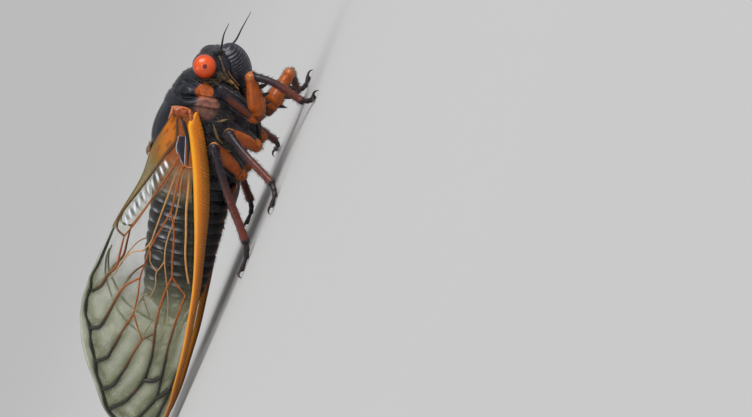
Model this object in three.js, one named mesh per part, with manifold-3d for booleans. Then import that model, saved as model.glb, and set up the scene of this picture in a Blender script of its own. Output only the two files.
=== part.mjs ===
// A periodical cicada at rest, life size: a still model that stands on its six feet.
//
// Sizes are millimetres. The body is laid out in the animal's own frame: x to its left, y from head
// to tail, z towards its back, with the origin inside the thorax between the wing roots. That frame
// is then raised, tipped head up and leaned a little, so that the feet meet the ground at z = 0.

import * as THREE from 'three';
import { LoftGeometry } from 'three/addons/geometries/LoftGeometry.js';
import { mergeVertices } from 'three/addons/utils/BufferGeometryUtils.js';
import Module from 'manifold-3d';

const wasm = await Module();
wasm.setup();

// Stance of the body over the ground
const HEAD_UP = THREE.MathUtils.degToRad(12);
const LEAN = THREE.MathUtils.degToRad(5);
const THORAX_HEIGHT = 11.2;
const CENTRE_SHIFT = new THREE.Vector3(0.7, -12.1, 0); // puts the middle of the outline on the origin

// Gaps between pieces that touch on the animal
const GAP = 0.06;

// Trunk: [y, height of the back, height of the belly, half width]
const TRUNK = [
  [-4.4, 1.1, -4.4, 3.3],
  [-3.3, 1.8, -5.0, 4.0],
  [-1.0, 2.7, -5.8, 4.65],
  [1.2, 3.35, -6.4, 4.4],
  [3.4, 3.5, -6.6, 4.4],
  [5.0, 3.1, -6.5, 4.35],
  [8.5, 2.5, -6.0, 4.25],
  [13.5, 2.2, -5.6, 3.95],
  [18.0, 1.75, -5.1, 3.1],
  [20.8, 1.0, -4.3, 1.9],
  [22.8, -1.3, -2.3, 0.5]
];
const TRUNK_SIDES = 16;
const PRONOTUM_Y = [-4.4, -0.93];
const THORAX_Y = [-0.87, 6.0];
const ABDOMEN_Y = [6.06, 20.9];
const TIP_Y = [20.96, 22.8];
const ABDOMEN_SEGMENTS = 8;
const SEGMENT_STEP = 0.04; // share of the radius by which a segment's front edge is sunk
const SEGMENT_GAP = 0.02; // from a segment's edges to the middle of the step between two

// Head
const HEAD_CENTRE = [0, -5.3, -1.9];
const HEAD_RADII = [3.5, 1.95, 2.25];
const EYE_CENTRE = [3.35, -5.5, -0.98];
const EYE_RADII = [1.22, 1.25, 1.25];
const FACE_CENTRE = [0, -5.5, -3.75];
const FACE_RADII = [2.05, 2.55, 1.8];
const FACE_TILT = THREE.MathUtils.degToRad(-29);
const FACE_RIDGES = 13;
const FACE_RIDGE_DEPTH = 0.022;
const BEAK_PATH = [[0, -3.4, -5.2], [0, -0.4, -7.2], [0, 2.2, -8.0]];
const BEAK_RADII = [0.55, 0.27];
const ANTENNA_RADII = [0.34, 0.26];
const ANTENNA_RIGHT = [[-1.95, -6.7, -2.2], [-2.4, -7.65, -2.5], [-4.3, -10.6, -2.75]];
const ANTENNA_LEFT = [[1.95, -6.7, -2.4], [2.3, -7.65, -3.2], [3.5, -11.0, -4.2]];

// Legs, whose segments are given by the points where they meet
const FORE = {
  coxa: [0.95, 0.78],
  femur: [1.12, 0.62],
  tibia: [0.42, 0.36],
  spines: 3
};
const MIDDLE = {
  coxa: [1.3, 0.8],
  femur: [0.68, 0.5],
  tibia: [0.42, 0.34],
  spines: 0
};
const HIND = {
  coxa: [1.3, 0.8],
  femur: [0.72, 0.52],
  tibia: [0.44, 0.34],
  spines: 0
};
// root, hip and knee are in the body's frame; ankle and toe are places on the ground
const LEGS = [
  { name: 'fore_right', kind: FORE, root: [-3.0, -3.3, -3.1], hip: [-2.6, -1.1, -7.1],
    knee: [-3.7, -5.5, -6.0], ankle: [-5.9, -6.6], toe: [-8.2, -7.9] },
  { name: 'fore_left', kind: FORE, root: [3.0, -3.2, -3.1], hip: [2.5, -0.8, -7.4],
    knee: [3.7, -5.4, -9.5], ankle: [6.6, -5.0], toe: [8.9, -6.4] },
  { name: 'middle_right', kind: MIDDLE, root: [-2.2, 0.2, -4.2], hip: [-2.6, 1.9, -7.8],
    knee: [-5.7, 0.5, -4.9], ankle: [-10.95, 1.6], toe: [-13.2, 3.2] },
  { name: 'middle_left', kind: MIDDLE, root: [2.2, 0.2, -4.2], hip: [2.6, 1.9, -7.8],
    knee: [5.8, 0.6, -5.1], ankle: [9.6, 1.6], toe: [11.8, 3.0] },
  { name: 'hind_right', kind: HIND, root: [-2.2, 3.7, -4.6], hip: [-2.5, 5.3, -6.8],
    knee: [-5.3, 2.3, -3.6], ankle: [-9.2, 8.8], toe: [-10.0, 11.6] },
  { name: 'hind_left', kind: HIND, root: [2.2, 3.7, -4.6], hip: [2.5, 5.3, -6.8],
    knee: [5.3, 2.5, -3.9], ankle: [8.4, 8.6], toe: [9.2, 11.4] }
];
const ANKLE_HEIGHT = 1.0;
const TOE_HEIGHT = 0.22;
const TARSUS_RADII = [0.4, 0.34];

// Ear covers under the base of the abdomen
const OPERCULUM_CENTRE = [1.8, 8.0, -6.35];
const OPERCULUM_RADII = [1.6, 1.6, 0.32];

// Wings, folded like a tent. A row is a cut across the wing at y:
// [y, edge at the front of the wing (x, z), shoulder that bends the cut (x, z), edge at the rear (x, z)]
const FOREWING = [
  [-0.6, 4.75, -1.4, 4.95, 0.2, 4.3, 1.1],
  [1.75, 5.2, -2.45, 5.4, 0.9, 4.2, 2.2],
  [3.9, 5.7, -3.2, 5.8, 2.2, 2.9, 3.05],
  [7.7, 6.5, -4.1, 5.9, 3.1, 1.2, 3.8],
  [13.0, 6.9, -4.6, 5.1, 3.0, 0.85, 5.75],
  [18.1, 6.4, -4.85, 4.4, 2.9, 0.75, 7.1],
  [21.4, 6.0, -4.8, 4.0, 2.6, 0.75, 7.75],
  [24.8, 5.5, -4.7, 3.6, 2.3, 0.75, 7.7],
  [28.0, 4.8, -4.4, 3.1, 1.9, 0.8, 6.8],
  [31.6, 4.1, -4.0, 2.7, 1.2, 0.9, 4.9],
  [34.8, 3.5, -3.2, 2.5, -0.2, 1.2, 2.6],
  [36.9, 3.0, -2.2, 2.6, -1.5, 2.2, -0.9]
];
const FOREWING_SPAN = [[-0.6, 0, 1], [36.9, 0, 1]];
// The hind wing lies under the forewing and follows its surface: [y, share of the cut it starts at, ends at]
const HINDWING_SPAN = [
  [6.2, 0.16, 0.52],
  [8.0, 0.14, 0.7],
  [11.0, 0.12, 0.84],
  [14.0, 0.1, 0.92],
  [17.2, 0.08, 0.94],
  [19.2, 0.07, 0.88],
  [20.6, 0.07, 0.79],
  [22.6, 0.08, 0.66],
  [23.7, 0.1, 0.52],
  [24.9, 0.19, 0.34]
];
const HINDWING_DEPTH = 0.6; // below the forewing's outer face
const WING_THICKNESS = 0.5;
const WING_EDGE_THICKNESS = 1.05; // the stout rim along the front of a forewing
const WING_RIM_SHARE = 0.1;
const WING_STATIONS = 18;
const HINDWING_STATIONS = 8;
const WING_ACROSS = 5;
const WING_SPREAD = 1.25; // above 1, the points of a cut gather near the front edge

const FOREWING_ROOT = [4.7, 0.5, 0];
const HINDWING_ROOT = [4.7, 6.2, 0];

const COLOURS = {
  shell: { color: 0x14151b, roughness: 0.38 },
  face: { color: 0x0e1220, roughness: 0.25 },
  eye: { color: 0xd9330c, roughness: 0.15 },
  belly: { color: 0x1a1512, roughness: 0.5 },
  beak: { color: 0x2a1410, roughness: 0.4 },
  coxa: { color: 0x231a1c, roughness: 0.4 },
  femur: { color: 0xb8571b, roughness: 0.35 },
  tibia: { color: 0x4a1c18, roughness: 0.35 },
  foot: { color: 0x1a0f10, roughness: 0.4 },
  feeler: { color: 0x0c0c0f, roughness: 0.5 },
  forewing: { color: 0xd98a2b, roughness: 0.3 },
  hindwing: { color: 0xc9a46a, roughness: 0.3 }
};

// Values that run smoothly through rows of [position, value, value...]
function smoothRun(rows) {
  const positions = rows.map((row) => row[0]);
  const values = rows.flatMap((row) => row.slice(1));
  const interpolant = new THREE.CubicInterpolant(positions, values, rows[0].length - 1);
  return (at) => Array.from(interpolant.evaluate(at));
}

// The solid that a closed three.js geometry bounds
function solidOf(geometry) {
  const bare = new THREE.BufferGeometry();
  bare.setAttribute('position', geometry.attributes.position);
  bare.setIndex(geometry.index);
  const merged = mergeVertices(bare, 1e-4);
  const triVerts = new Uint32Array(merged.index.array);
  const mesh = new wasm.Mesh({
    numProp: 3,
    vertProperties: merged.attributes.position.array,
    triVerts
  });
  return new wasm.Manifold(mesh);
}

function loft(sections) {
  return solidOf(new LoftGeometry(sections, { capStart: true, capEnd: true }));
}

function geometryOf(solid) {
  const mesh = solid.getMesh();
  const geometry = new THREE.BufferGeometry();
  geometry.setAttribute('position', new THREE.BufferAttribute(mesh.vertProperties, 3));
  geometry.setIndex(new THREE.BufferAttribute(mesh.triVerts, 1));
  return geometry;
}

function without(solid, ...cutters) {
  return cutters.reduce((left, cutter) => left.subtract(cutter), solid);
}

// An ellipsoid whose long axis may tip towards the belly, and whose skin may ripple along that axis
function ellipsoid(centre, radii, { tilt = 0, ridges = 0, around = 16, along = 12, grow = 0 } = {}) {
  const geometry = new THREE.SphereGeometry(1, around, along);
  const position = geometry.attributes.position;
  for (let i = 0; i < position.count; i++) {
    // the sphere's pole axis becomes the long axis of the ellipsoid
    const axis = position.getY(i);
    const ripple = ridges ? FACE_RIDGE_DEPTH * Math.cos(ridges * Math.PI * axis) : 0;
    const swell = 1 + ripple;
    position.setXYZ(
      i,
      -position.getX(i) * (radii[0] + grow) * swell,
      axis * (radii[1] + grow),
      position.getZ(i) * (radii[2] + grow) * swell
    );
  }
  geometry.scale(-1, 1, 1);
  geometry.rotateX(tilt);
  geometry.translate(...centre);
  return solidOf(geometry);
}

// Rounded limb ends: the share of the length they take, and what is left of the radius at the very end
const ROUND_END = 0.06;
const ROUND_END_SHRINK = 0.62;

// A limb along a curve, round in section, whose radius runs evenly between its two end radii
function limb(points, radii, { sides = 8, steps = 4, grow = 0, swell = 0, blunt = false } = {}) {
  const corners = points.map((point) => new THREE.Vector3(...point));
  const curve = new THREE.CatmullRomCurve3(corners);
  const inner = Array.from({ length: steps - 1 }, (_, i) => (i + 1) / steps);
  const shares = blunt ? [0, ...inner, 1] : [0, ROUND_END, ...inner, 1 - ROUND_END, 1];
  const frames = curve.computeFrenetFrames(100, false);
  const sections = shares.map((share) => {
    const frame = Math.round(share * 100);
    const end = !blunt && (share === 0 || share === 1) ? ROUND_END_SHRINK : 1;
    const belly = 1 + swell * Math.sin(Math.PI * share);
    const radius = THREE.MathUtils.lerp(radii[0], radii[1], share) * end * belly + grow;
    const centre = curve.getPointAt(share);
    return Array.from({ length: sides }, (_, k) => {
      const angle = (k / sides) * 2 * Math.PI;
      return centre.clone()
        .addScaledVector(frames.normals[frame], Math.cos(angle) * radius)
        .addScaledVector(frames.binormals[frame], Math.sin(angle) * radius);
    });
  });
  return loft(sections);
}

// The trunk between two cuts, as a whole animal's would be before it is parted
const trunkAt = smoothRun(TRUNK);

function trunkRing(y, share, grow) {
  const [back, belly, halfWidth] = trunkAt(y);
  const middle = (back + belly) / 2;
  const halfHeight = (back - belly) / 2;
  return Array.from({ length: TRUNK_SIDES }, (_, k) => {
    const angle = (k / TRUNK_SIDES) * 2 * Math.PI;
    const up = Math.cos(angle) * (halfHeight * share + grow);
    const out = Math.sin(angle) * (halfWidth * share + grow);
    return new THREE.Vector3(out, y, middle + up);
  });
}

function trunk([from, to], stations, grow = 0) {
  const rings = [];
  for (let i = 0; i <= stations; i++) {
    rings.push(trunkRing(THREE.MathUtils.lerp(from, to, i / stations), 1, grow));
  }
  return loft(rings);
}

// The abdomen's rings overlap like roof tiles: each starts a little sunk behind the one before
function abdomen() {
  const [from, to] = ABDOMEN_Y;
  const length = (to - from) / ABDOMEN_SEGMENTS;
  const rings = [];
  for (let k = 0; k < ABDOMEN_SEGMENTS; k++) {
    const start = from + k * length;
    rings.push(trunkRing(start + SEGMENT_GAP, 1 - SEGMENT_STEP, 0));
    rings.push(trunkRing(start + length - SEGMENT_GAP, 1, 0));
  }
  return loft(rings);
}

// A wing over a span of the forewing's surface, whose cuts are bent bands that may be stouter along
// the front edge, where the rim is
const wingCutAt = smoothRun(FOREWING);

function wing(span, side, { depth = 0, rim = WING_THICKNESS, stations = WING_STATIONS, grow = 0 } = {}) {
  const spanAt = smoothRun(span);
  const first = span[0][0];
  const last = span[span.length - 1][0];
  const rings = [];
  for (let i = 0; i <= stations; i++) {
    const y = THREE.MathUtils.lerp(first, last, i / stations);
    const [from, to] = spanAt(y);
    const [frontX, frontZ, bendX, bendZ, rearX, rearZ] = wingCutAt(y);
    const bend = new THREE.QuadraticBezierCurve(
      new THREE.Vector2(frontX, frontZ),
      new THREE.Vector2(bendX, bendZ),
      new THREE.Vector2(rearX, rearZ)
    );
    const outside = [];
    const inside = [];
    for (let k = 0; k <= WING_ACROSS; k++) {
      const share = THREE.MathUtils.lerp(from, to, Math.pow(k / WING_ACROSS, WING_SPREAD));
      const at = bend.getPoint(share);
      const along = bend.getTangent(share);
      const under = depth + (share < WING_RIM_SHARE ? rim : WING_THICKNESS) + grow;
      outside.push(new THREE.Vector3(side * (at.x - along.y * depth), y, at.y + along.x * depth));
      inside.push(new THREE.Vector3(side * (at.x - along.y * under), y, at.y + along.x * under));
    }
    const ring = [...outside, ...inside.reverse()];
    if (side > 0) ring.reverse();
    rings.push(ring);
  }
  return loft(rings);
}

// Stance: the body's frame in the world, and back again
const stance = new THREE.Matrix4().makeRotationY(LEAN)
  .multiply(new THREE.Matrix4().makeRotationX(-HEAD_UP))
  .setPosition(0, 0, THORAX_HEIGHT);
const backToBody = stance.clone().invert();

function bodyPoint(x, y, z) {
  return new THREE.Vector3(x, y, z).applyMatrix4(backToBody).toArray();
}

// All that lies under the ground, which trims the feet flat
const GROUND_WIDTH = 80;
const GROUND_DEPTH = 20;
const groundBox = new THREE.BoxGeometry(GROUND_WIDTH, GROUND_WIDTH, GROUND_DEPTH)
  .translate(0, 0, -GROUND_DEPTH / 2)
  .applyMatrix4(backToBody);
const underGround = solidOf(groundBox);

// A foot: the tarsus bends at the sole and ends in two hooked claws, each given by how far ahead of
// the toe, how far aside and how high its middle and its end are
const SOLE_SHARE = 0.45;
const SOLE_LIFT = 0.08;
const CLAW_MIDDLE = { ahead: 0.48, aside: 0.42, height: 0.42 };
const CLAW_END = { ahead: 0.8, aside: 0.62, height: 0.05 };
const CLAW_RADII = [0.27, 0.18];

function foot(leg, grow = 0) {
  const [ankleX, ankleY] = leg.ankle;
  const [toeX, toeY] = leg.toe;
  const heel = new THREE.Vector3(ankleX, ankleY, ANKLE_HEIGHT);
  const toe = new THREE.Vector3(toeX, toeY, TOE_HEIGHT);
  const sole = heel.clone().lerp(toe, SOLE_SHARE).setZ(TOE_HEIGHT + SOLE_LIFT);
  const path = [heel, sole, toe].map((point) => bodyPoint(...point.toArray()));
  let solid = limb(path, TARSUS_RADII, { sides: 6, steps: 2, grow });
  const ahead = toe.clone().sub(heel).setZ(0).normalize();
  const aside = new THREE.Vector3(-ahead.y, ahead.x, 0);
  for (const way of [-1, 1]) {
    const onClaw = (place) => toe.clone()
      .addScaledVector(ahead, place.ahead)
      .addScaledVector(aside, way * place.aside)
      .setZ(place.height);
    const hook = [toe, onClaw(CLAW_MIDDLE), onClaw(CLAW_END)].map((point) => bodyPoint(...point.toArray()));
    solid = solid.add(limb(hook, CLAW_RADII, { sides: 4, steps: 2, grow, blunt: true }));
  }
  return without(solid, underGround);
}

// Fore femora carry a row of short spines on their lower edge, each a little shorter than the last
const SPINE_DOWN = [0, -0.35, -1];
const SPINE_FIRST = 0.3; // share of the femur where the row starts
const SPINE_STEP = 0.22;
const SPINE_ROOT = 0.7; // how deep a spine is rooted, as a share of the femur's radius
const SPINE_LENGTH = 1.05;
const SPINE_SHORTER = 0.12;
const SPINE_LEAN = 0.3;
const SPINE_RADII = [0.34, 0.2];

function spinesOf(leg) {
  const hip = new THREE.Vector3(...leg.hip);
  const knee = new THREE.Vector3(...leg.knee);
  const along = knee.clone().sub(hip).normalize();
  const down = new THREE.Vector3(...SPINE_DOWN).projectOnPlane(along).normalize();
  return Array.from({ length: leg.kind.spines }, (_, k) => {
    const share = SPINE_FIRST + SPINE_STEP * k;
    const radius = THREE.MathUtils.lerp(...leg.kind.femur, share);
    const length = SPINE_LENGTH - SPINE_SHORTER * k;
    const base = hip.clone().lerp(knee, share).addScaledVector(down, radius * SPINE_ROOT);
    const tip = base.clone().addScaledVector(down, length).addScaledVector(along, SPINE_LEAN);
    return limb([base.toArray(), tip.toArray()], SPINE_RADII, { sides: 5, steps: 1, blunt: true });
  });
}

// A leg's four pieces, each cut back from the one before it
function legPieces(leg, trunkCutter) {
  const { kind } = leg;
  const ankle = bodyPoint(leg.ankle[0], leg.ankle[1], ANKLE_HEIGHT);
  const coxaLine = [leg.root, leg.hip];
  const femurLine = [leg.hip, leg.knee];
  const tibiaLine = [leg.knee, ankle];
  const coxaShape = { sides: 8, steps: 2 };
  const femurShape = { sides: 8, steps: 3, swell: 0.12 };
  const tibiaShape = { sides: 7, steps: 2 };
  const coxa = limb(coxaLine, kind.coxa, coxaShape);
  const coxaCutter = limb(coxaLine, kind.coxa, { ...coxaShape, grow: GAP });
  const femurCutter = limb(femurLine, kind.femur, { ...femurShape, grow: GAP });
  const tibiaCutter = limb(tibiaLine, kind.tibia, { ...tibiaShape, grow: GAP });
  let femur = limb(femurLine, kind.femur, femurShape);
  for (const spine of spinesOf(leg)) femur = femur.add(spine);
  return {
    coxa: without(coxa, trunkCutter),
    femur: without(femur, coxaCutter, trunkCutter),
    tibia: without(limb(tibiaLine, kind.tibia, tibiaShape), femurCutter),
    tarsus: without(foot(leg), tibiaCutter)
  };
}

// One node: a named mesh whose own origin is its pivot on the body
function piece(name, solid, pivot, finish) {
  const geometry = geometryOf(solid).translate(-pivot[0], -pivot[1], -pivot[2]);
  const mesh = new THREE.Mesh(geometry, new THREE.MeshStandardMaterial({ metalness: 0, ...finish }));
  mesh.name = name;
  mesh.position.set(...pivot);
  return mesh;
}

function mirrored([x, y, z], side) {
  return [x * side, y, z];
}

const SIDES = [['right', -1], ['left', 1]];

function cicada() {
  const body = new THREE.Group();
  const add = (...args) => body.add(piece(...args));

  const headShape = { around: 16, along: 10 };
  const faceShape = { tilt: FACE_TILT, ridges: FACE_RIDGES, around: 12, along: 22 };
  const face = ellipsoid(FACE_CENTRE, FACE_RADII, faceShape);
  const faceCutter = ellipsoid(FACE_CENTRE, FACE_RADII, { tilt: FACE_TILT, along: 14, grow: 2.5 * GAP });
  const beak = limb(BEAK_PATH, BEAK_RADII, { sides: 8, steps: 6 });
  const eyeCutter = { around: 12, along: 8, grow: 2 * GAP };
  const eyes = SIDES.map(([, side]) => ellipsoid(mirrored(EYE_CENTRE, side), EYE_RADII, eyeCutter));
  const headWhole = ellipsoid(HEAD_CENTRE, HEAD_RADII, headShape);
  const headCutter = ellipsoid(HEAD_CENTRE, HEAD_RADII, { around: 12, along: 8, grow: 3 * GAP });
  const beakCutter = limb(BEAK_PATH, BEAK_RADII, { sides: 8, steps: 6, grow: GAP });

  const feelers = { right: ANTENNA_RIGHT, left: ANTENNA_LEFT };
  add('postclypeus', face, FACE_CENTRE, COLOURS.face);
  add('head', without(headWhole, faceCutter, ...eyes), HEAD_CENTRE, COLOURS.shell);
  for (const [word, side] of SIDES) {
    const centre = mirrored(EYE_CENTRE, side);
    add('eye_' + word, ellipsoid(centre, EYE_RADII, { around: 14, along: 9 }), centre, COLOURS.eye);
    const feeler = limb(feelers[word], ANTENNA_RADII, { sides: 6, steps: 4 });
    add('antenna_' + word, without(feeler, headCutter, faceCutter), feelers[word][0], COLOURS.feeler);
  }

  const chest = trunk(THORAX_Y, 8);
  const neckShield = without(trunk(PRONOTUM_Y, 3), headCutter, faceCutter, beakCutter, ...eyes);
  const trunkCutter = trunk([PRONOTUM_Y[0], TIP_Y[1]], 20, 1.5 * GAP);
  add('pronotum', neckShield, [0, PRONOTUM_Y[1], 0], COLOURS.shell);
  add('thorax', chest, [0, 0, 0], COLOURS.shell);
  add('abdomen', abdomen(), [0, ABDOMEN_Y[0], -1.5], COLOURS.belly);
  add('abdomen_tip', trunk(TIP_Y, 3), [0, TIP_Y[0], -1.5], COLOURS.belly);
  add('rostrum', without(beak, headCutter, faceCutter, trunkCutter), BEAK_PATH[0], COLOURS.beak);

  for (const leg of LEGS) {
    const pieces = legPieces(leg, trunkCutter);
    add(leg.name + '_coxa', pieces.coxa, leg.root, COLOURS.coxa);
    add(leg.name + '_femur', pieces.femur, leg.hip, COLOURS.femur);
    add(leg.name + '_tibia', pieces.tibia, leg.knee, COLOURS.tibia);
    const ankle = bodyPoint(leg.ankle[0], leg.ankle[1], ANKLE_HEIGHT);
    add(leg.name + '_tarsus', pieces.tarsus, ankle, COLOURS.foot);
  }

  for (const [word, side] of SIDES) {
    const plateAt = mirrored(OPERCULUM_CENTRE, side);
    const plate = ellipsoid(plateAt, OPERCULUM_RADII, { around: 10, along: 6 });
    add('operculum_' + word, without(plate, trunkCutter), plateAt, COLOURS.belly);
    const forewing = wing(FOREWING_SPAN, side, { rim: WING_EDGE_THICKNESS });
    const forewingCutter = wing(FOREWING_SPAN, side, { rim: WING_EDGE_THICKNESS, grow: GAP });
    const hindShape = { depth: HINDWING_DEPTH, stations: HINDWING_STATIONS };
    const hindwing = without(wing(HINDWING_SPAN, side, hindShape), forewingCutter, trunkCutter);
    add('forewing_' + word, without(forewing, trunkCutter), mirrored(FOREWING_ROOT, side), COLOURS.forewing);
    add('hindwing_' + word, hindwing, mirrored(HINDWING_ROOT, side), COLOURS.hindwing);
  }

  const stood = new THREE.Group();
  stood.add(body);
  body.applyMatrix4(stance);
  stood.position.copy(CENTRE_SHIFT);
  const model = new THREE.Group();
  model.add(stood);
  return model;
}

export default cicada();
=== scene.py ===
# %% [markdown]
# # A periodical cicada, life size
# The insect stands still on a plain floor, as a museum model would. Its solids come from a fixed
# frame, and this script makes what the eye meets: black shell plates, red eyes, ringed legs, clear
# wings on orange veins, and short hair. Each step says what the piece is on the real animal.

# %% Load the fixed frame
import math

import bmesh
import bpy
import numpy as np
from mathutils import Matrix, Vector


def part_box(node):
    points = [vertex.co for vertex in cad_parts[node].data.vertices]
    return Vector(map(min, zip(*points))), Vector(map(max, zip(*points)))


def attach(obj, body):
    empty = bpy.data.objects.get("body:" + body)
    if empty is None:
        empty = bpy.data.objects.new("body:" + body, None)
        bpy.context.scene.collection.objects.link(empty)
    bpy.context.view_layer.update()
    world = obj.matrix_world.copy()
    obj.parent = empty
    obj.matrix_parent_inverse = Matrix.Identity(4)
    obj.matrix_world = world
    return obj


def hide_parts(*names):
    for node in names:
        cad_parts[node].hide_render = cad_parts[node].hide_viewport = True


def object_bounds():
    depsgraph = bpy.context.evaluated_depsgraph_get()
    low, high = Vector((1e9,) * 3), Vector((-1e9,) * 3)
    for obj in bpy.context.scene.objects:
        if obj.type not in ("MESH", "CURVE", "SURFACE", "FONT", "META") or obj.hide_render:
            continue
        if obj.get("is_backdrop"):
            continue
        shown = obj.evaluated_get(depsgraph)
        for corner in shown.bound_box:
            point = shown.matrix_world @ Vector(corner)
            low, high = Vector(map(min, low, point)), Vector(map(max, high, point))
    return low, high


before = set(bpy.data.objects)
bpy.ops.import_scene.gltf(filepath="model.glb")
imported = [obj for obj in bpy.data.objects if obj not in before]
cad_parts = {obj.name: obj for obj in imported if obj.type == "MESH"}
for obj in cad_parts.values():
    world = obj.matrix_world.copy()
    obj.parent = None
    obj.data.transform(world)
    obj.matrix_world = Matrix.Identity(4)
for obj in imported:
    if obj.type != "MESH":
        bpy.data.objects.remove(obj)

CAD_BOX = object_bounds()
print("frame nodes:", len(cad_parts))

# %% [markdown]
# The body is easiest to shape in the animal's own frame: x to its left, y from head to tail and z
# towards its back, in millimetres. One matrix then tips that frame head up, leans it and lifts it
# to where the legs hold it. Every piece keeps its points in the body's frame and carries this
# matrix, so a material can also read where on the body it is.

# %% Set the stance
MM = 0.001
HEAD_UP = math.radians(12)
LEAN = math.radians(5)
THORAX_AT = Vector((0.7, -12.1, 11.2)) * MM
STANCE = (
    Matrix.Translation(THORAX_AT)
    @ Matrix.Rotation(LEAN, 4, "Y")
    @ Matrix.Rotation(-HEAD_UP, 4, "X")
)
TO_BODY = STANCE.inverted()


def on_ground(x, y, height):
    """A place over the floor, given from the thorax's foot point, in the body's frame, in mm."""
    shift = Vector((THORAX_AT.x, THORAX_AT.y, 0))
    return np.array(TO_BODY @ (Vector((x, y, height)) * MM + shift)) / MM


EYE_CENTRE = np.array([3.35, -5.5, -0.98])
low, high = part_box("eye_left")
eye_gap = (low + high) / 2 - STANCE @ Vector(EYE_CENTRE * MM)
print("eye off its solid, mm:", round(eye_gap.length / MM, 3))

# %% [markdown]
# The photograph looks at the animal's right side from a little behind the head's line, almost
# level with it, and the camera is rolled: the insect climbs, so its head points up the picture.
# Here it stands on a floor instead, and the camera rolls with it. A long lens, 0.3 m away, gives
# the same nearly flat perspective.

# %% Place the camera
VIEW_TURN = math.radians(12)
VIEW_DOWN = math.radians(2.25)
VIEW_ROLL = math.radians(68)
VIEW_DISTANCE = 0.300
FOCAL_PIXELS = 2820
PHOTO_SIZE = (752, 417)
THORAX_PIXEL = (190, 110)
SENSOR = 36.0
CLIP_NEAR = 0.01

look = Vector((
    math.cos(VIEW_TURN) * math.cos(VIEW_DOWN),
    math.sin(VIEW_TURN) * math.cos(VIEW_DOWN),
    -math.sin(VIEW_DOWN),
))
level = look.cross(Vector((0, 0, 1))).normalized()
upward = level.cross(look)
picture_right = math.cos(VIEW_ROLL) * level - math.sin(VIEW_ROLL) * upward
picture_up = math.sin(VIEW_ROLL) * level + math.cos(VIEW_ROLL) * upward
off_right = (PHOTO_SIZE[0] / 2 - THORAX_PIXEL[0]) / FOCAL_PIXELS
off_down = (PHOTO_SIZE[1] / 2 - THORAX_PIXEL[1]) / FOCAL_PIXELS
axis = (look + picture_right * off_right - picture_up * off_down).normalized()
right = (picture_right - axis * picture_right.dot(axis)).normalized()
up = right.cross(axis)

scene = bpy.context.scene
lens = bpy.data.cameras.new("view")
lens.sensor_width = SENSOR
lens.lens = SENSOR * FOCAL_PIXELS / PHOTO_SIZE[0]
lens.clip_start = CLIP_NEAR
camera = bpy.data.objects.new("view", lens)
scene.collection.objects.link(camera)
camera.matrix_world = Matrix.Translation(THORAX_AT - look * VIEW_DISTANCE) @ Matrix((
    (right.x, up.x, -axis.x, 0),
    (right.y, up.y, -axis.y, 0),
    (right.z, up.z, -axis.z, 0),
    (0, 0, 0, 1),
))
scene.camera = camera
print("camera height over the floor, mm:", round(camera.location.z / MM, 1))

# %% [markdown]
# A material is a sum of many small decisions: dark here, red there, rougher in the dents. Written
# as node calls, that is hard to read, so one small class wraps a node's output and lets ordinary
# signs add the maths nodes. Anything that isn't arithmetic goes through its one node method.

# %% Write shader maths as sums


class Wire:
    """One output in a material's nodes. Sums on it add the nodes that work them out."""

    def __init__(self, tree, socket=None):
        self.tree = tree
        self.socket = socket

    def node(self, kind, settings=None, inputs=None, output=0):
        """Adds a node: its settings first, then what each socket holds or is linked to."""
        made = self.tree.nodes.new(kind)
        for name, value in (settings or {}).items():
            setattr(made, name, value)
        for name, value in (inputs or {}).items():
            if isinstance(value, Wire):
                self.tree.links.new(value.socket, made.inputs[name])
            else:
                made.inputs[name].default_value = value
        return Wire(self.tree, made.outputs[output])

    def maths(self, operation, *values):
        settings = {"operation": operation}
        return self.node("ShaderNodeMath", settings, dict(enumerate(values)))

    def __add__(self, other):
        return self.maths("ADD", self, other)

    __radd__ = __add__

    def __mul__(self, other):
        return self.maths("MULTIPLY", self, other)

    __rmul__ = __mul__

    def __sub__(self, other):
        return self.maths("SUBTRACT", self, other)

    def __rsub__(self, other):
        return self.maths("SUBTRACT", other, self)

    def __truediv__(self, other):
        return self.maths("DIVIDE", self, other)

    def __pow__(self, other):
        return self.maths("POWER", self, other)

    def size(self):
        return self.maths("ABSOLUTE", self)

    def wave(self):
        return self.maths("SINE", self)

    def ramp(self, low, high):
        """0 below low, 1 above high, and smooth between. With low over high it falls instead."""
        flipped = low > high
        first, last = min(low, high), max(low, high)
        settings = {"interpolation_type": "SMOOTHSTEP"}
        span = {"Value": self, "From Min": first, "From Max": last}
        risen = self.node("ShaderNodeMapRange", settings, span)
        return 1 - risen if flipped else risen

    def paint(self, under, over):
        """This value as a mask: the colour under it, with the colour over it laid on top."""
        sockets = {"Factor": self, 6: colour_of(under), 7: colour_of(over)}
        return self.node("ShaderNodeMix", {"data_type": "RGBA"}, sockets, output=2)


def colour_of(value):
    """A colour socket wants four numbers, and a wire as it is."""
    return value if isinstance(value, Wire) else (*value, 1.0)


# %% [markdown]
# Each finish starts from the same few things: where on the body the point is, in millimetres, and
# noise at a chosen grain. The place comes from the object's own coordinates, so it stays put
# whatever the camera does.

# %% Start a finish


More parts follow.
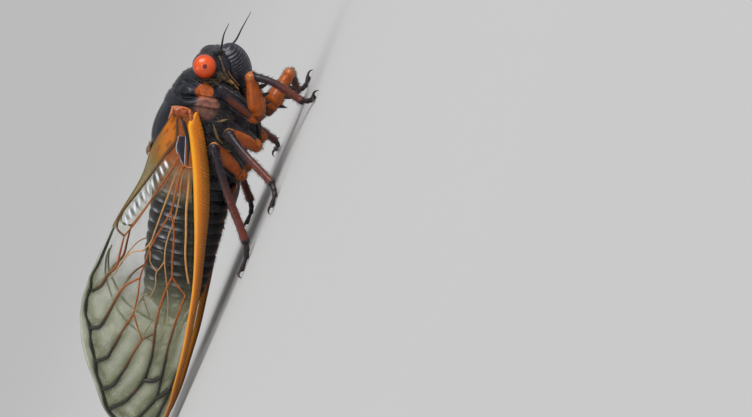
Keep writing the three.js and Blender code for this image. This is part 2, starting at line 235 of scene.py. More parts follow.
class Finish:
    """A material being built, with the body's coordinates at hand."""

    def __init__(self, name):
        self.material = bpy.data.materials.new(name)
        self.material.use_nodes = True
        self.tree = self.material.node_tree
        self.tree.nodes.clear()
        self.wire = Wire(self.tree)
        self.place = self.wire.node("ShaderNodeTexCoord", output=3)
        parts = [self.wire.node("ShaderNodeSeparateXYZ", None, {0: self.place}, i) for i in range(3)]
        self.x, self.y, self.z = [part * (1 / MM) for part in parts]

    def noise(self, grain, detail=3.0, rough=0.55):
        """Cloudy noise from 0 to 1 whose clouds are about grain millimetres across."""
        sockets = {"Vector": self.place, "Scale": 1 / (grain * MM), "Detail": detail, "Roughness": rough}
        return self.wire.node("ShaderNodeTexNoise", None, sockets)

    def cells(self, grain):
        """Distance to the nearest of many scattered points, grain millimetres apart."""
        sockets = {"Vector": self.place, "Scale": 1 / (grain * MM)}
        return self.wire.node("ShaderNodeTexVoronoi", None, sockets)

    def value(self, name):
        """A number stored at the points of the mesh."""
        return self.wire.node("ShaderNodeAttribute", {"attribute_name": name}, None, 2)

    def near(self, at, reach):
        """A soft mask round a place on both sides: 1 at its middle, 0 beyond its reach."""
        across = self.x.size()
        gap = ((across - at[0]) ** 2 + (self.y - at[1]) ** 2 + (self.z - at[2]) ** 2) ** 0.5
        return gap.ramp(reach, reach * 0.55)

    def bump(self, height, depth):
        """Dents and rises of about depth millimetres."""
        sockets = {"Height": height, "Strength": 1.0, "Distance": depth * MM}
        return self.wire.node("ShaderNodeBump", None, sockets)

    def close(self, **sockets):
        """Ends the finish in a principled shader, whose sockets are given by name."""
        named = {name.replace("_", " "): value for name, value in sockets.items()}
        shader = self.wire.node("ShaderNodeBsdfPrincipled", None, named)
        end = self.tree.nodes.new("ShaderNodeOutputMaterial")
        self.tree.links.new(shader.socket, end.inputs["Surface"])
        return self.material


# %% [markdown]
# The floor is a wide pale sheet with a faint paper grain. The sky's strength is worked out from
# the sun's, so that sheet and sky come out in the same tone and no horizon cuts the picture. A
# broad sun, as soft as an overcast window, comes from ahead of the insect and above it, which is
# where the photograph's light comes from once the picture is turned level. Two large panels add
# long highlights on the shell.

# %% Lay the floor and the light
FLOOR_HALF = 3.0
SUN = 2.3
SUN_FROM = Vector((-0.25, -0.65, 0.75)).normalized()
PAPER_WHITE = 0.48
PAPER_GRAIN = 0.006
SKY = PAPER_WHITE * SUN * SUN_FROM.z / math.pi / (1 - PAPER_WHITE)
floor_mesh = bpy.data.meshes.new("floor")
corners = [(-FLOOR_HALF, -FLOOR_HALF, 0), (FLOOR_HALF, -FLOOR_HALF, 0)]
corners += [(FLOOR_HALF, FLOOR_HALF, 0), (-FLOOR_HALF, FLOOR_HALF, 0)]
floor_mesh.from_pydata(corners, [], [(0, 1, 2, 3)])
floor = bpy.data.objects.new("floor", floor_mesh)
scene.collection.objects.link(floor)
floor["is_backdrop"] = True
paper = Finish("floor_paper")
paper_tones = [[PAPER_WHITE - PAPER_GRAIN] * 3, [PAPER_WHITE + PAPER_GRAIN] * 3]
paper_tone = paper.noise(60, 2).paint(*paper_tones)
floor_mesh.materials.append(paper.close(Base_Color=paper_tone, Roughness=0.85, Specular_IOR_Level=0.1))

world = bpy.data.worlds.new("studio")
world.use_nodes = True
sky = world.node_tree.nodes["Background"].inputs
sky["Color"].default_value = (1, 1, 1, 1)
sky["Strength"].default_value = SKY
scene.world = world
scene.view_settings.view_transform = "Standard"


def add_light(name, kind, power, place, **settings):
    """A lamp aimed at the thorax, at a place given in metres from it."""
    data = bpy.data.lights.new(name, kind)
    data.energy = power
    for key, value in settings.items():
        setattr(data, key, value)
    lamp = bpy.data.objects.new(name, data)
    lamp.location = THORAX_AT + Vector(place)
    lamp.rotation_mode = "QUATERNION"
    lamp.rotation_quaternion = (THORAX_AT - lamp.location).to_track_quat("-Z", "Y")
    scene.collection.objects.link(lamp)


add_light("window", "SUN", SUN, SUN_FROM, angle=math.radians(35))
add_light("panel_head", "AREA", 0.45, (-0.12, -0.42, 0.22), shape="RECTANGLE", size=0.25, size_y=0.2)
add_light("panel_back", "AREA", 0.30, (-0.15, 0.25, 0.35), shape="RECTANGLE", size=0.3, size_y=0.15)

# %% [markdown]
# Shell plates, limbs and wings are all surfaces swept through cuts: a list of rings, each with the
# same number of points. A small collector takes such sweeps, and plain blobs, and turns what it
# holds into one piece. It also stores numbers at the points, such as how far along a leg they
# lie, and the finishes read them.

# %% Collect points and faces into pieces


class Shape:
    """Points and faces in the body's frame, in mm, with numbers stored at the points."""

    def __init__(self):
        self.points = []
        self.faces = []
        self.values = {}
        self.count = 0

    def add(self, points, faces, **values):
        points = np.asarray(points, float).reshape(-1, 3)
        for name in set(self.values) | set(values):
            given = values.get(name, 0.0)
            column = np.broadcast_to(np.asarray(given, float).ravel(), (len(points),))
            before = self.values.setdefault(name, [np.zeros(self.count)])
            before.append(column)
        self.points.append(points)
        self.faces.extend([[i + self.count for i in face] for face in faces])
        self.count += len(points)

    def sweep(self, rings, **values):
        """A closed skin through rings of points; values are given ring by ring, point by point."""
        rings = np.asarray(rings, float)
        stations, sides = rings.shape[:2]
        faces = []
        for i in range(stations - 1):
            for k in range(sides):
                m = (k + 1) % sides
                faces.append((i * sides + k, i * sides + m, (i + 1) * sides + m, (i + 1) * sides + k))
        faces.append(tuple(range(sides))[::-1])
        faces.append(tuple((stations - 1) * sides + k for k in range(sides)))
        self.add(rings, faces, **values)

    def piece(self, name, finish, replaced, slot):
        """Makes the object, turns its faces outwards and lets it ride on the frame."""
        mesh = bpy.data.meshes.new(name)
        mesh.from_pydata((np.concatenate(self.points) * MM).tolist(), [], self.faces)
        turned = bmesh.new()
        turned.from_mesh(mesh)
        bmesh.ops.recalc_face_normals(turned, faces=turned.faces)
        turned.to_mesh(mesh)
        turned.free()
        for key, columns in self.values.items():
            stored = mesh.attributes.new(key, "FLOAT", "POINT")
            stored.data.foreach_set("value", np.concatenate(columns).astype(np.float32))
        mesh.polygons.foreach_set("use_smooth", [True] * len(mesh.polygons))
        mesh.materials.append(finish)
        made = bpy.data.objects.new(name, mesh)
        scene.collection.objects.link(made)
        made.matrix_world = STANCE
        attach(made, "root")
        if replaced:
            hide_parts(*replaced)
        return made


def unit(v):
    v = np.asarray(v, float)
    return v / np.maximum(np.linalg.norm(v, axis=-1, keepdims=True), 1e-9)


def smooth_step(value, low, high):
    """0 below low, 1 above high, and smooth between."""
    t = np.clip((np.asarray(value, float) - low) / (high - low), 0, 1)
    return t * t * (3 - 2 * t)


def run_through(rows):
    """A function that gives the values at any position, smooth through rows of [position, values]."""
    at = np.array([row[0] for row in rows], float)
    held = np.array([row[1:] for row in rows], float)
    slope = np.gradient(held, at, axis=0)

    def values(position):
        position = np.clip(np.asarray(position, float), at[0], at[-1])
        i = np.clip(np.searchsorted(at, position, side="right") - 1, 0, len(at) - 2)
        span = (at[i + 1] - at[i])[..., None]
        t = (position[..., None] - at[i][..., None]) / span
        start, end = held[i], held[i + 1]
        rise = (2 * t**3 - 3 * t**2 + 1) * start + (3 * t**2 - 2 * t**3) * end
        return rise + span * ((t**3 - 2 * t**2 + t) * slope[i] + (t**3 - t**2) * slope[i + 1])

    return values


# %% [markdown]
# A leg joint, a feeler or a wing vein is a round bar along a curve. The bar's section is carried
# along without twisting, its radius runs smoothly through a few given values, and its ends are
# rounded like a thimble so that joints look like balls in sockets.

# %% Sweep round bars
ROUND_STEPS = 4
THIMBLE = 0.8


def curve_points(corners, count):
    """Points evenly placed on a smooth curve through the corners."""
    corners = np.asarray(corners, float)
    reach = np.concatenate([[0], np.cumsum(np.linalg.norm(np.diff(corners, axis=0), axis=1))])
    if len(corners) == 2:
        return corners[0] + np.linspace(0, 1, count)[:, None] * (corners[1] - corners[0])
    return run_through([[r, *c] for r, c in zip(reach, corners)])(np.linspace(0, reach[-1], count))


def frames_along(path):
    """Unit tangents and two side directions at each point of a path, without twist."""
    tangents = unit(np.gradient(path, axis=0))
    side = np.cross(tangents[0], (0, 0, 1))
    if np.linalg.norm(side) < 0.05:
        side = np.cross(tangents[0], (1, 0, 0))
    sides = []
    for tangent in tangents:
        side = unit(side - tangent * np.dot(side, tangent))
        sides.append(side)
    sides = np.array(sides)
    return tangents, sides, np.cross(tangents, sides)


def add_bar(shape, corners, radii, sides, count, flat=1.0, form=None, **values):
    """A bar whose radii are spread evenly along it. form(share, angle) may swell its skin."""
    path = curve_points(corners, count)
    tangents, across, over = frames_along(path)
    share = np.linspace(0, 1, count)
    radius = run_through([[i / (len(radii) - 1), r] for i, r in enumerate(radii)])(share)[:, 0]
    turn = np.linspace(0, 2 * np.pi, sides, endpoint=False)
    cuts = []
    for i in range(count):
        swell = form(share[i], turn) if form else 1.0
        cut = across[i] * (np.cos(turn) * radius[i] * swell)[:, None]
        cuts.append(cut + over[i] * (np.sin(turn) * radius[i] * swell * flat)[:, None])
    first, last = [], []
    for step in range(1, ROUND_STEPS):
        lift = math.cos(step / ROUND_STEPS * math.pi / 2)
        shrink = math.sin(step / ROUND_STEPS * math.pi / 2)
        first.append(path[0] - tangents[0] * radius[0] * lift * THIMBLE + cuts[0] * shrink)
        last.append(path[-1] + tangents[-1] * radius[-1] * lift * THIMBLE + cuts[-1] * shrink)
    rings = [*first, *(place + cut for place, cut in zip(path, cuts)), *last[::-1]]
    shares = [0.0] * len(first) + list(share) + [1.0] * len(last)
    shape.sweep(rings, along=np.repeat(shares, sides), **values)


def ball_points(centre, radii, level):
    """A round blob of even triangles, with the unit direction of each point."""
    made = bmesh.new()
    bmesh.ops.create_icosphere(made, subdivisions=level, radius=1.0)
    made.verts.ensure_lookup_table()
    ways = np.array([v.co[:] for v in made.verts])
    faces = [tuple(v.index for v in face.verts) for face in made.faces]
    made.free()
    return np.asarray(centre) + ways * np.asarray(radii), faces, ways


def rise(points, ways, at, reach, height):
    """Moves points outwards by a soft hill on each side, or a pit where height is negative."""
    for side in ((1, -1) if at[0] else (1,)):
        gap = (points - np.array([at[0] * side, at[1], at[2]])) / np.asarray(reach)
        points = points + ways * (height * np.exp(-(gap**2).sum(axis=1)))[:, None]
    return points


print("collector ready")

# %% [markdown]
# The shell is cuticle: nearly black, with a cold blue sheen where it is smooth, pricked all over
# with fine pits that hold the light, and dusted grey-brown in its folds. At the sides of the neck
# shield it turns orange and pink, which is the mark of this species between eye and wing. The
# noise gives the pits, and soft round masks lay the marks where they sit on the body.

# %% Finish of the black shell
NIGHT = (0.0030, 0.0036, 0.0065)
BLUE_BLACK = (0.0065, 0.0100, 0.0220)
DUST = (0.050, 0.040, 0.030)
ORANGE_SHELL = (0.46, 0.095, 0.010)
PINK_SHELL = (0.33, 0.135, 0.090)
ORANGE_MARK = {"at": (4.3, -3.15, -1.50), "reach": 1.25, "full": 0.75, "least": 0.55}
PINK_MARK = {"at": (4.25, -1.45, -2.05), "reach": 1.6, "full": 0.80, "least": 0.45}
CREAM = (0.50, 0.36, 0.19)
AMBER = (0.17, 0.080, 0.028)
DUSK = (0.030, 0.014, 0.010)


def marked(made, base, colour, at, reach, full, least):
    """A ragged, mottled patch of colour over the base, on both sides of the body."""
    ragged = 0.9 * (made.noise(0.40, 5) - 0.5)
    mottle = made.noise(0.5, 4).ramp(0.34, 0.58)
    patch = (made.near(at, reach) + ragged).ramp(0.10, full) * (least + 0.45 * mottle)
    return patch.paint(base, colour)


def black_shell():
    made = Finish("black_shell")
    pits = made.cells(0.16)
    cloud = made.noise(1.4, 4)
    fine = made.noise(0.12, 2)
    base = cloud.ramp(0.35, 0.7).paint(NIGHT, BLUE_BLACK)
    dusty = made.noise(0.5, 4).ramp(0.56, 0.8) * 0.45
    base = dusty.paint(base, DUST)
    base = marked(made, base, ORANGE_SHELL, **ORANGE_MARK)
    base = marked(made, base, PINK_SHELL, **PINK_MARK)
    height = pits.ramp(0.0, 0.35) * 0.6 + fine * 0.5 + cloud * 0.8
    return made.close(
        Base_Color=base,
        Roughness=0.30 + 0.22 * fine,
        Normal=made.bump(height, 0.035),
        Specular_IOR_Level=0.24,
        Coat_Weight=0.14 * cloud.ramp(0.3, 0.6),
        Coat_Roughness=0.14,
    )


SHELL = black_shell()
print("finish:", SHELL.name)

# %% [markdown]
# The trunk is one long rounded body, cut by nature into a neck shield, a humped thorax and a
# ringed abdomen. Its outline is a row of oval cuts, the same ones that the solids use, and every
# plate is a stretch of that surface, lifted and dented a little. Working in place along the body
# and angle round it keeps left and right alike.

# %% Describe the trunk
TRUNK_ROWS = [
    [-4.4, 1.1, -4.4, 3.3],
    [-3.3, 1.8, -5.0, 4.0],
    [-1.0, 2.7, -5.8, 4.65],
    [1.2, 3.35, -6.4, 4.4],
    [3.4, 3.5, -6.6, 4.4],
    [5.0, 3.1, -6.5, 4.35],
    [8.5, 2.5, -6.0, 4.25],
    [13.5, 2.2, -5.6, 3.95],
    [18.0, 1.75, -5.1, 3.1],
    [20.8, 1.0, -4.3, 1.9],
    [22.8, -1.3, -2.3, 0.5],
]
trunk_cut = run_through(TRUNK_ROWS)


def trunk_surface(along, angle, lift=0.0):
    """Points at places along the body and angles round it, 0 at the back, lifted outwards."""
    along, angle = np.broadcast_arrays(along, angle)
    back, belly, half = np.moveaxis(trunk_cut(along), -1, 0)
    middle = (back + belly) / 2
    tall = (back - belly) / 2
    out = np.stack([np.sin(angle) / half, np.zeros_like(along), np.cos(angle) / tall], -1)
    skin = np.stack([np.sin(angle) * half, along, middle + np.cos(angle) * tall], -1)
    return skin + unit(out) * np.asarray(lift)[..., None] * np.ones_like(skin)


def hill(value, centre, reach):
    """1 where the value is at its centre, falling off softly beyond its reach."""
    return np.exp(-(((value - centre) / reach) ** 2))


ROUND = np.linspace(-np.pi, np.pi, 180, endpoint=False)
TUCK = 0.35


def plate(shape, front, rear, lift, stations):
    """A ring of shell, tucked in at both ends. front, rear and lift are functions of the angle."""
    turn = ROUND[None, :]
    share = np.linspace(0, 1, stations)[:, None]
    along = front(turn) + (rear(turn) - front(turn)) * share
    height = lift(along, turn, share)
    rings = trunk_surface(along, turn, height)
    first = trunk_surface(front(turn)[0], ROUND, height[0] - TUCK)
    last = trunk_surface(rear(turn)[0], ROUND, height[-1] - TUCK)
    values = np.concatenate([[share[0, 0]], share[:, 0], [share[-1, 0]]])
    shape.sweep([first, *rings, last], along=np.repeat(values, len(ROUND)))


print("trunk length, mm:", TRUNK_ROWS[-1][0] - TRUNK_ROWS[0][0])

# %% [markdown]
# The neck shield, or pronotum, sits behind the head like a collar of armour. Slanting furrows
# run down each side, a glossy oval boss bulges over the shoulder, and a smooth raised rim closes
# it at the rear, which reaches further forward at the sides than on the back.

# %% Shape the neck shield


def straight(along):
    """An edge at the same place all round the body."""
    return lambda turn: np.full_like(turn, along)


def shield_rear(turn):
    return -0.75 - 0.85 * smooth_step(np.abs(turn), 0.5, 1.6)


def shield_lift(along, turn, share):
    side = np.abs(turn)
    rim = (0.10 + 0.14 * smooth_step(side, 0.5, 1.1)) * smooth_step(share, 0.70, 0.76)
    furrow_rim = -0.20 * hill(share, 0.68, 0.035)
    slant = along + 4.0 - 0.9 * side
    fade = smooth_step(side, 0.12, 0.4) * (1 - smooth_step(side, 0.65, 0.85))
    furrow_one = -0.26 * hill(slant, 0, 0.14) * fade
    slant_two = along + 4.0 - 0.55 * (side - 1.1)
    furrow_two = -0.26 * hill(slant_two, 0, 0.14) * smooth_step(side, 0.5, 0.8) * (share < 0.7)
    reach = np.sqrt(((along + 2.70) / 0.85) ** 2 + ((side - 1.02) / 0.40) ** 2)
    boss = 0.34 * (1 - smooth_step(reach, 0.35, 0.95))
    moat = -0.20 * hill(reach, 1.08, 0.16)
    keel = -0.08 * hill(side, 0.0, 0.05) * (share < 0.7)
    front = -0.35 * (1 - smooth_step(share, 0.0, 0.14))
    under = -0.15 * smooth_step(side, 2.1, 2.5)
    return rim + furrow_rim + furrow_one + furrow_two + boss + moat + keel + front + under


shield = Shape()
plate(shield, straight(-4.45), shield_rear, shield_lift, 90)
SHIELD_PIECE = shield.piece("neck_shield", SHELL, ["pronotum"], "shell")
print("neck shield points:", shield.count)

# %% [markdown]
# The thorax carries the wings. Its back is a big smooth dome, and behind it rises a small cross
# of amber bars with cream tips, the scutellum. Low on the sides the dome gives way to hairy grey
# plates that the coxae hang from, so one finish paints the sides by height.

# %% Finish and shape of the thorax
FLANK_DARK = (0.009, 0.009, 0.012)
FLANK_GREY = (0.055, 0.054, 0.066)
WING_FLUSH = (0.22, 0.045, 0.015)


def thorax_shell():
    made = Finish("thorax_shell")
    fine = made.noise(0.14, 3)
    cloud = made.noise(1.8, 4)
    base = cloud.ramp(0.35, 0.7).paint(NIGHT, BLUE_BLACK)
    low_side = (made.z + 0.5 * (cloud - 0.5)).ramp(0.6, -0.7)
    grey = made.noise(0.35, 5).ramp(0.3, 0.75).paint(FLANK_DARK, FLANK_GREY)
    base = low_side.paint(base, grey)
    flush = made.near((4.6, 0.2, -0.2), 1.5) * made.noise(0.7, 4).ramp(0.35, 0.6)
    base = flush.paint(base, WING_FLUSH)
    base = marked(made, base, PINK_SHELL, **PINK_MARK)
    height = fine * 0.6 + made.cells(0.22).ramp(0, 0.5) * (0.25 + 0.75 * low_side)
    return made.close(
        Base_Color=base,
        Roughness=0.28 + 0.16 * fine + 0.30 * low_side,
        Normal=made.bump(height, 0.035),
        Specular_IOR_Level=0.26,
        Coat_Weight=0.16 * (1 - low_side),
        Coat_Roughness=0.14,
    )


def thorax_lift(along, turn, share):
    side = np.abs(turn)
    dome = 0.10 * hill(side, 0.0, 0.8) * hill(along, 2.2, 2.2)
    groove = -0.07 * hill(side - 0.28 - 0.05 * along, 0, 0.035) * (along < 3.4)
    groove_two = -0.07 * hill(side - 0.75 - 0.02 * along, 0, 0.04) * (along < 3.8)
    shoulder = -0.55 * hill(side, 1.45, 0.28) * smooth_step(along, -1.0, 0.6)
    cross_dip = -0.35 * hill(along, 4.7, 0.35) * hill(side, 0.0, 0.55)
    low = smooth_step(side, 1.6, 1.9)
    seam = -0.22 * hill(along, 1.6 + 0.5 * (side - 2.0), 0.13) * low
    seam_two = -0.22 * hill(along, 3.9 + 0.6 * (side - 2.0), 0.13) * low
    seam_low = -0.18 * hill(side, 2.15, 0.05)
    rear = -0.5 * smooth_step(share, 0.90, 1.0)
    front = -0.30 * (1 - smooth_step(share, 0.0, 0.12))
    back = dome + groove + groove_two + shoulder + cross_dip
    return back + seam + seam_two + seam_low + rear + front


thorax = Shape()
THORAX_SHELL = thorax_shell()
plate(thorax, straight(-2.3), straight(6.15), thorax_lift, 110)
THORAX_PIECE = thorax.piece("thorax_shell", THORAX_SHELL, ["thorax"], "shell")
print("thorax points:", thorax.count)

# %% [markdown]
# The cross on the back is four short raised arms that meet in a low knob, and from its front
# corners a pale bar runs out towards each wing. They are bars pressed into the dome. The flanks
# have cream seams of the same horn between their plates, over the roots of the legs.

# %% Add the cross on the back


def amber_horn():
    made = Finish("amber_horn")
    cloud = made.noise(0.45, 4)
    pale = made.value("pale")
    base = cloud.ramp(0.3, 0.7).paint(DUSK, AMBER)
    base = (pale * (0.6 + 0.4 * cloud)).paint(base, CREAM)
    return made.close(
        Base_Color=base,
        Roughness=0.35 + 0.2 * cloud,
        Normal=made.bump(made.noise(0.12, 3), 0.03),
        Specular_IOR_Level=0.45,
    )


AMBER_HORN = amber_horn()
cross = Shape()
CROSS_MIDDLE = (0.0, 5.1, 3.45)
CROSS_ARMS = [
    [(0.95, 4.15, 3.42), 0.20, 0.3],
    [(1.25, 6.0, 2.95), 0.26, 1.0],
]
for side in (-1, 1):
    for (x, y, z), radius, pale in CROSS_ARMS:
        halfway = (side * x * 0.5, (y + CROSS_MIDDLE[1]) / 2, (z + CROSS_MIDDLE[2]) / 2)
        arm = [CROSS_MIDDLE, halfway, (side * x, y, z)]
        add_bar(cross, arm, [radius * 1.5, radius, radius * 1.1], 12, 14, pale=pale)
    wing_bar = [(side * 1.0, 6.0, 2.7), (side * 2.2, 5.6, 2.45), (side * 3.3, 4.6, 2.1)]
    add_bar(cross, wing_bar, [0.26, 0.2, 0.14], 12, 18, pale=0.35)
points, faces, _ = ball_points(CROSS_MIDDLE, (0.62, 0.66, 0.42), 4)
cross.add(points, faces, pale=0.15, along=0.5)
cross.piece("back_cross", AMBER_HORN, (), "shell")

FLANK_SEAMS = [
    [(-0.10, -3.20), (-0.30, -3.85), (-0.55, -4.45)],
    [(0.20, -3.05), (0.95, -3.40), (1.75, -3.85), (2.15, -4.35)],
    [(2.75, -4.20), (2.85, -4.80), (2.95, -5.35)],
]
SEAM_RADII = (0.04, 0.15, 0.04)
SEAM_LIFT = -0.03


def on_flank(y, z, side):
    """A place just under the trunk's skin, on its side at a height z."""
    back, belly, _ = trunk_cut(y)
    angle = math.acos((z - (back + belly) / 2) / ((back - belly) / 2))
    return trunk_surface(y, side * angle, SEAM_LIFT)


seams = Shape()
for side in (-1, 1):
    for route in FLANK_SEAMS:
        add_bar(seams, [on_flank(y, z, side) for y, z in route], SEAM_RADII, 10, 24, pale=0.8)
seams.piece("flank_seams", AMBER_HORN, (), "shell")
print("cross points:", cross.count)

# %% [markdown]
# The abdomen is a stack of rings that slide into each other. Each ring starts a little sunk under
# the one before it and ends in a smooth raised lip. Three rows of painted highlights, pale grey
# patches on the lips, run down each side and show through the wings. The rings are black, with
# narrow rust bands on the belly.

# %% Finish and shape of the abdomen
BELLY_DARK = (0.004, 0.004, 0.005)
BELLY_GREY = (0.011, 0.0105, 0.013)
LIP_HIGHLIGHT_GREY = (0.78, 0.80, 0.90)
BELLY_RUST = (0.15, 0.038, 0.008)
ABDOMEN_FRONT = 5.9
ABDOMEN_REAR = 20.9
ABDOMEN_RINGS = 12
RING_OVERLAP = 0.12
LIP_HIGHLIGHT_HALF_ANGLE = 0.12


def belly_shell():
    made = Finish("belly_shell")
    fine = made.noise(0.12, 3)
    cloud = made.noise(1.1, 4)
    lip = made.value("lip")
    below = made.value("below")
    base = cloud.ramp(0.35, 0.7).paint(BELLY_DARK, BELLY_GREY)
    grey = made.noise(0.25, 4).ramp(0.4, 0.75)
    # Painted highlights: pale bluish-grey patches on the rings' lips, in three rows a side.
    lip_highlight = lip.ramp(0.62, 0.95) * (0.4 + 0.6 * grey) * made.value("sheen")
    base = lip_highlight.paint(base, LIP_HIGHLIGHT_GREY)
    rust = below.ramp(0.25, 0.75) * lip.ramp(0.45, 0.95)
    base = rust.paint(base, BELLY_RUST)
    return made.close(
        Base_Color=base,
        Roughness=0.27 + 0.2 * fine,
        Normal=made.bump(fine * 0.7 + made.cells(0.2).ramp(0, 0.5) * 0.5, 0.03),
        Specular_IOR_Level=0.3,
        Coat_Weight=0.15 * cloud.ramp(0.3, 0.6),
        Coat_Roughness=0.18,
    )


BELLY_SHELL = belly_shell()
abdomen = Shape()
ring_length = (ABDOMEN_REAR - ABDOMEN_FRONT) / ABDOMEN_RINGS
for k in range(ABDOMEN_RINGS):
    start = ABDOMEN_FRONT + k * ring_length
    share = np.linspace(0, 1, 16)[:, None]
    along = start + share * (ring_length + RING_OVERLAP)
    side = np.abs(ROUND)
    lift = -0.30 + 0.30 * smooth_step(share, 0.0, 0.45) + 0.06 * np.sin(np.pi * share)
    lift = lift - 0.10 * hill(side[None], 2.0, 0.06)
    skin = trunk_surface(along, ROUND[None], lift)
    front = trunk_surface(start, ROUND, lift[0] - TUCK)
    rear = trunk_surface(along[-1, 0], ROUND, lift[-1] - TUCK)
    shares = np.concatenate([[0], share[:, 0], [1]])
    below = np.tile(smooth_step(side, 2.6, 2.85), len(shares))
    middle = start + ring_length / 2
    # Where the rows of painted highlights run, as angles round the body; sheen holds them.
    low_row = 1.29 + 0.045 * (middle - 9)
    high_row = 1.10 - 0.05 * (middle - 12)
    top_row = max(0.74 - 0.13 * (middle - 9.5), 0)
    patches = sum(hill(side, row, LIP_HIGHLIGHT_HALF_ANGLE) for row in (low_row, high_row, top_row))
    sheen = np.tile(0.05 + 0.95 * np.clip(patches, 0, 1), len(shares))
    lips = np.repeat(shares, len(ROUND))
    abdomen.sweep([front, *skin, rear], lip=lips, below=below, sheen=sheen)
ABDOMEN_PIECE = abdomen.piece("abdomen_rings", BELLY_SHELL, ["abdomen"], "belly")

tip = Shape()
share = np.linspace(0, 1, 40)[:, None]
along = 20.7 + share * 2.1
sunk = -0.12 - 0.35 * share**2
tip_skin = trunk_surface(along, ROUND[None], sunk)
tip.sweep(tip_skin, lip=np.repeat(share[:, 0], len(ROUND)), below=0.4)
for side in (-1, 1):
    valve = [(side * 0.35, 20.6, -3.6), (side * 0.42, 21.8, -3.0), (side * 0.2, 22.7, -2.2)]
    add_bar(tip, valve, [0.5, 0.42, 0.2], 14, 18, lip=0.9, below=0.7)
tip.piece("abdomen_tip", BELLY_SHELL, ["abdomen_tip"], "belly")
print("abdomen points:", abdomen.count)

# %% [markdown]
# Two thin lids, the opercula, cover the ears under the front of the abdomen. Each is a shallow
# rounded plate with a slightly turned edge.

# %% Add the ear covers
SIDES = {"right": -1, "left": 1}
LID_PLACE = (1.8, 8.0, -6.25)
LID_RADII = (1.6, 1.6, 0.36)
LID_DISH = 0.12
for word, side in SIDES.items():
    lid = Shape()
    points, faces, ways = ball_points(np.array(LID_PLACE) * (side, 1, 1), LID_RADII, 4)
    edge = np.sqrt(ways[:, 0] ** 2 + ways[:, 1] ** 2)
    points[:, 2] -= LID_DISH * smooth_step(edge, 0.75, 1.0)
    lid.add(points, faces, lip=edge, below=1.0)
    lid.piece("ear_cover_" + word, BELLY_SHELL, ["operculum_" + word], "belly")
print("ear covers:", len(SIDES))

# %% [markdown]
# The head is short and very wide, with an eye on each end. The capsule is a blob pushed out into
# eye sockets, a flat brow with two shallow pits, and ledges over the feelers.

# %% Shape the head capsule
HEAD_CENTRE = np.array([0, -5.3, -1.9])
HEAD_RADII = (3.5, 1.95, 2.25)
HEAD_RISES = {
    "socket": ((2.9, -5.35, -1.0), (0.9, 1.3, 1.3), 0.25),
    "brow pit": ((1.5, -6.0, 0.0), (0.7, 0.6, 0.5), -0.18),
    "brow": ((0.0, -6.8, -0.3), (2.0, 0.55, 0.8), 0.10),
    "parting": ((0.0, -6.6, -0.6), (0.14, 0.9, 0.8), -0.10),
    "ledge": ((2.05, -6.7, -1.55), (0.8, 0.5, 0.35), 0.30),
    "cheek": ((2.7, -5.3, -3.0), (0.6, 0.8, 0.7), 0.15),
}
head_skin, faces, ways = ball_points(HEAD_CENTRE, HEAD_RADII, 6)
for at, reach, height in HEAD_RISES.values():
    head_skin = rise(head_skin, ways, at, reach, height)
head = Shape()
head.add(head_skin, faces)
HEAD_PIECE = head.piece("head_capsule", SHELL, ["head"], "shell")
print("head points:", head.count)

# %% [markdown]
# The bulging nose plate, the postclypeus, is the strongest mark of a cicada's face. Under it sits
# the pump that sucks sap, and its muscles leave a ladder of curved ridges on each side of a smooth
# middle band. The ridges are real geometry, so they catch light from any side, and pale highlights
# are also painted along their crests.

# %% Finish and shape of the nose plate
NOSE_DARK = (0.004, 0.005, 0.009)
NOSE_BLUE = (0.012, 0.013, 0.030)
CREST_HIGHLIGHT = (0.25, 0.21, 0.22)
FACE_CENTRE = np.array([0, -5.5, -3.75])
FACE_RADII = np.array([2.05, 2.55, 1.8])
FACE_TILT = math.radians(-29)
RIDGES = 17
RIDGE_HEIGHT = 0.06


def nose_shell():
    made = Finish("nose_shell")
    crest = made.value("crest")
    fine = made.noise(0.1, 3)
    base = made.noise(1.0, 3).ramp(0.3, 0.7).paint(NOSE_DARK, NOSE_BLUE)
    # Painted highlights: pale streaks along the crests of the ridges.
    crest_highlight = crest.ramp(0.40, 1.0) * made.noise(0.3, 4).ramp(0.30, 0.65) * 0.70
    base = crest_highlight.paint(base, CREST_HIGHLIGHT)
    return made.close(
        Base_Color=base,
        Roughness=0.27 + 0.15 * fine,
        Normal=made.bump(fine, 0.02),
        Specular_IOR_Level=0.3,
        Coat_Weight=0.15 + 0.1 * fine,
        Coat_Roughness=0.15,
    )


def tipped(points, centre, tilt):
    """Turns points about a centre, round the axis that runs across the body."""
    away = points - centre
    c, s = math.cos(tilt), math.sin(tilt)
    y = away[:, 1] * c - away[:, 2] * s
    z = away[:, 1] * s + away[:, 2] * c
    return centre + np.stack([away[:, 0], y, z], 1)


def nose_points():
    _, faces, ways = ball_points((0, 0, 0), (1, 1, 1), 6)
    side = np.abs(ways[:, 0])
    long_way = ways[:, 1] - 0.42 * side
    comb = (0.5 + 0.5 * np.cos(long_way * RIDGES * math.pi)) ** 2.4
    strength = smooth_step(side, 0.14, 0.34) * (1 - smooth_step(np.abs(ways[:, 1]), 0.84, 0.97))
    crest = comb * strength
    band = 0.05 * hill(side, 0.0, 0.12)
    skin = ways * (FACE_RADII + (crest * RIDGE_HEIGHT + band)[:, None])
    return tipped(FACE_CENTRE + skin, FACE_CENTRE, FACE_TILT), faces, crest


NOSE_SHELL = nose_shell()
nose = Shape()
points, faces, crest = nose_points()
nose.add(points, faces, crest=crest)
nose.piece("nose_plate", NOSE_SHELL, ["postclypeus"], "face")
print("nose ridges:", RIDGES)

# %% [markdown]
# Beside the nose plate lie two narrow cheek plates, and under it a small keel leads to the beak.
# Their edges carry pale gold dust, seen in the photograph as a light line from feeler to leg.

# %% Add cheeks and the keel below the nose
CHEEK_DARK = (0.008, 0.008, 0.011)
CHEEK_GREY = (0.03, 0.026, 0.026)
GOLD_DUST = (0.42, 0.24, 0.085)


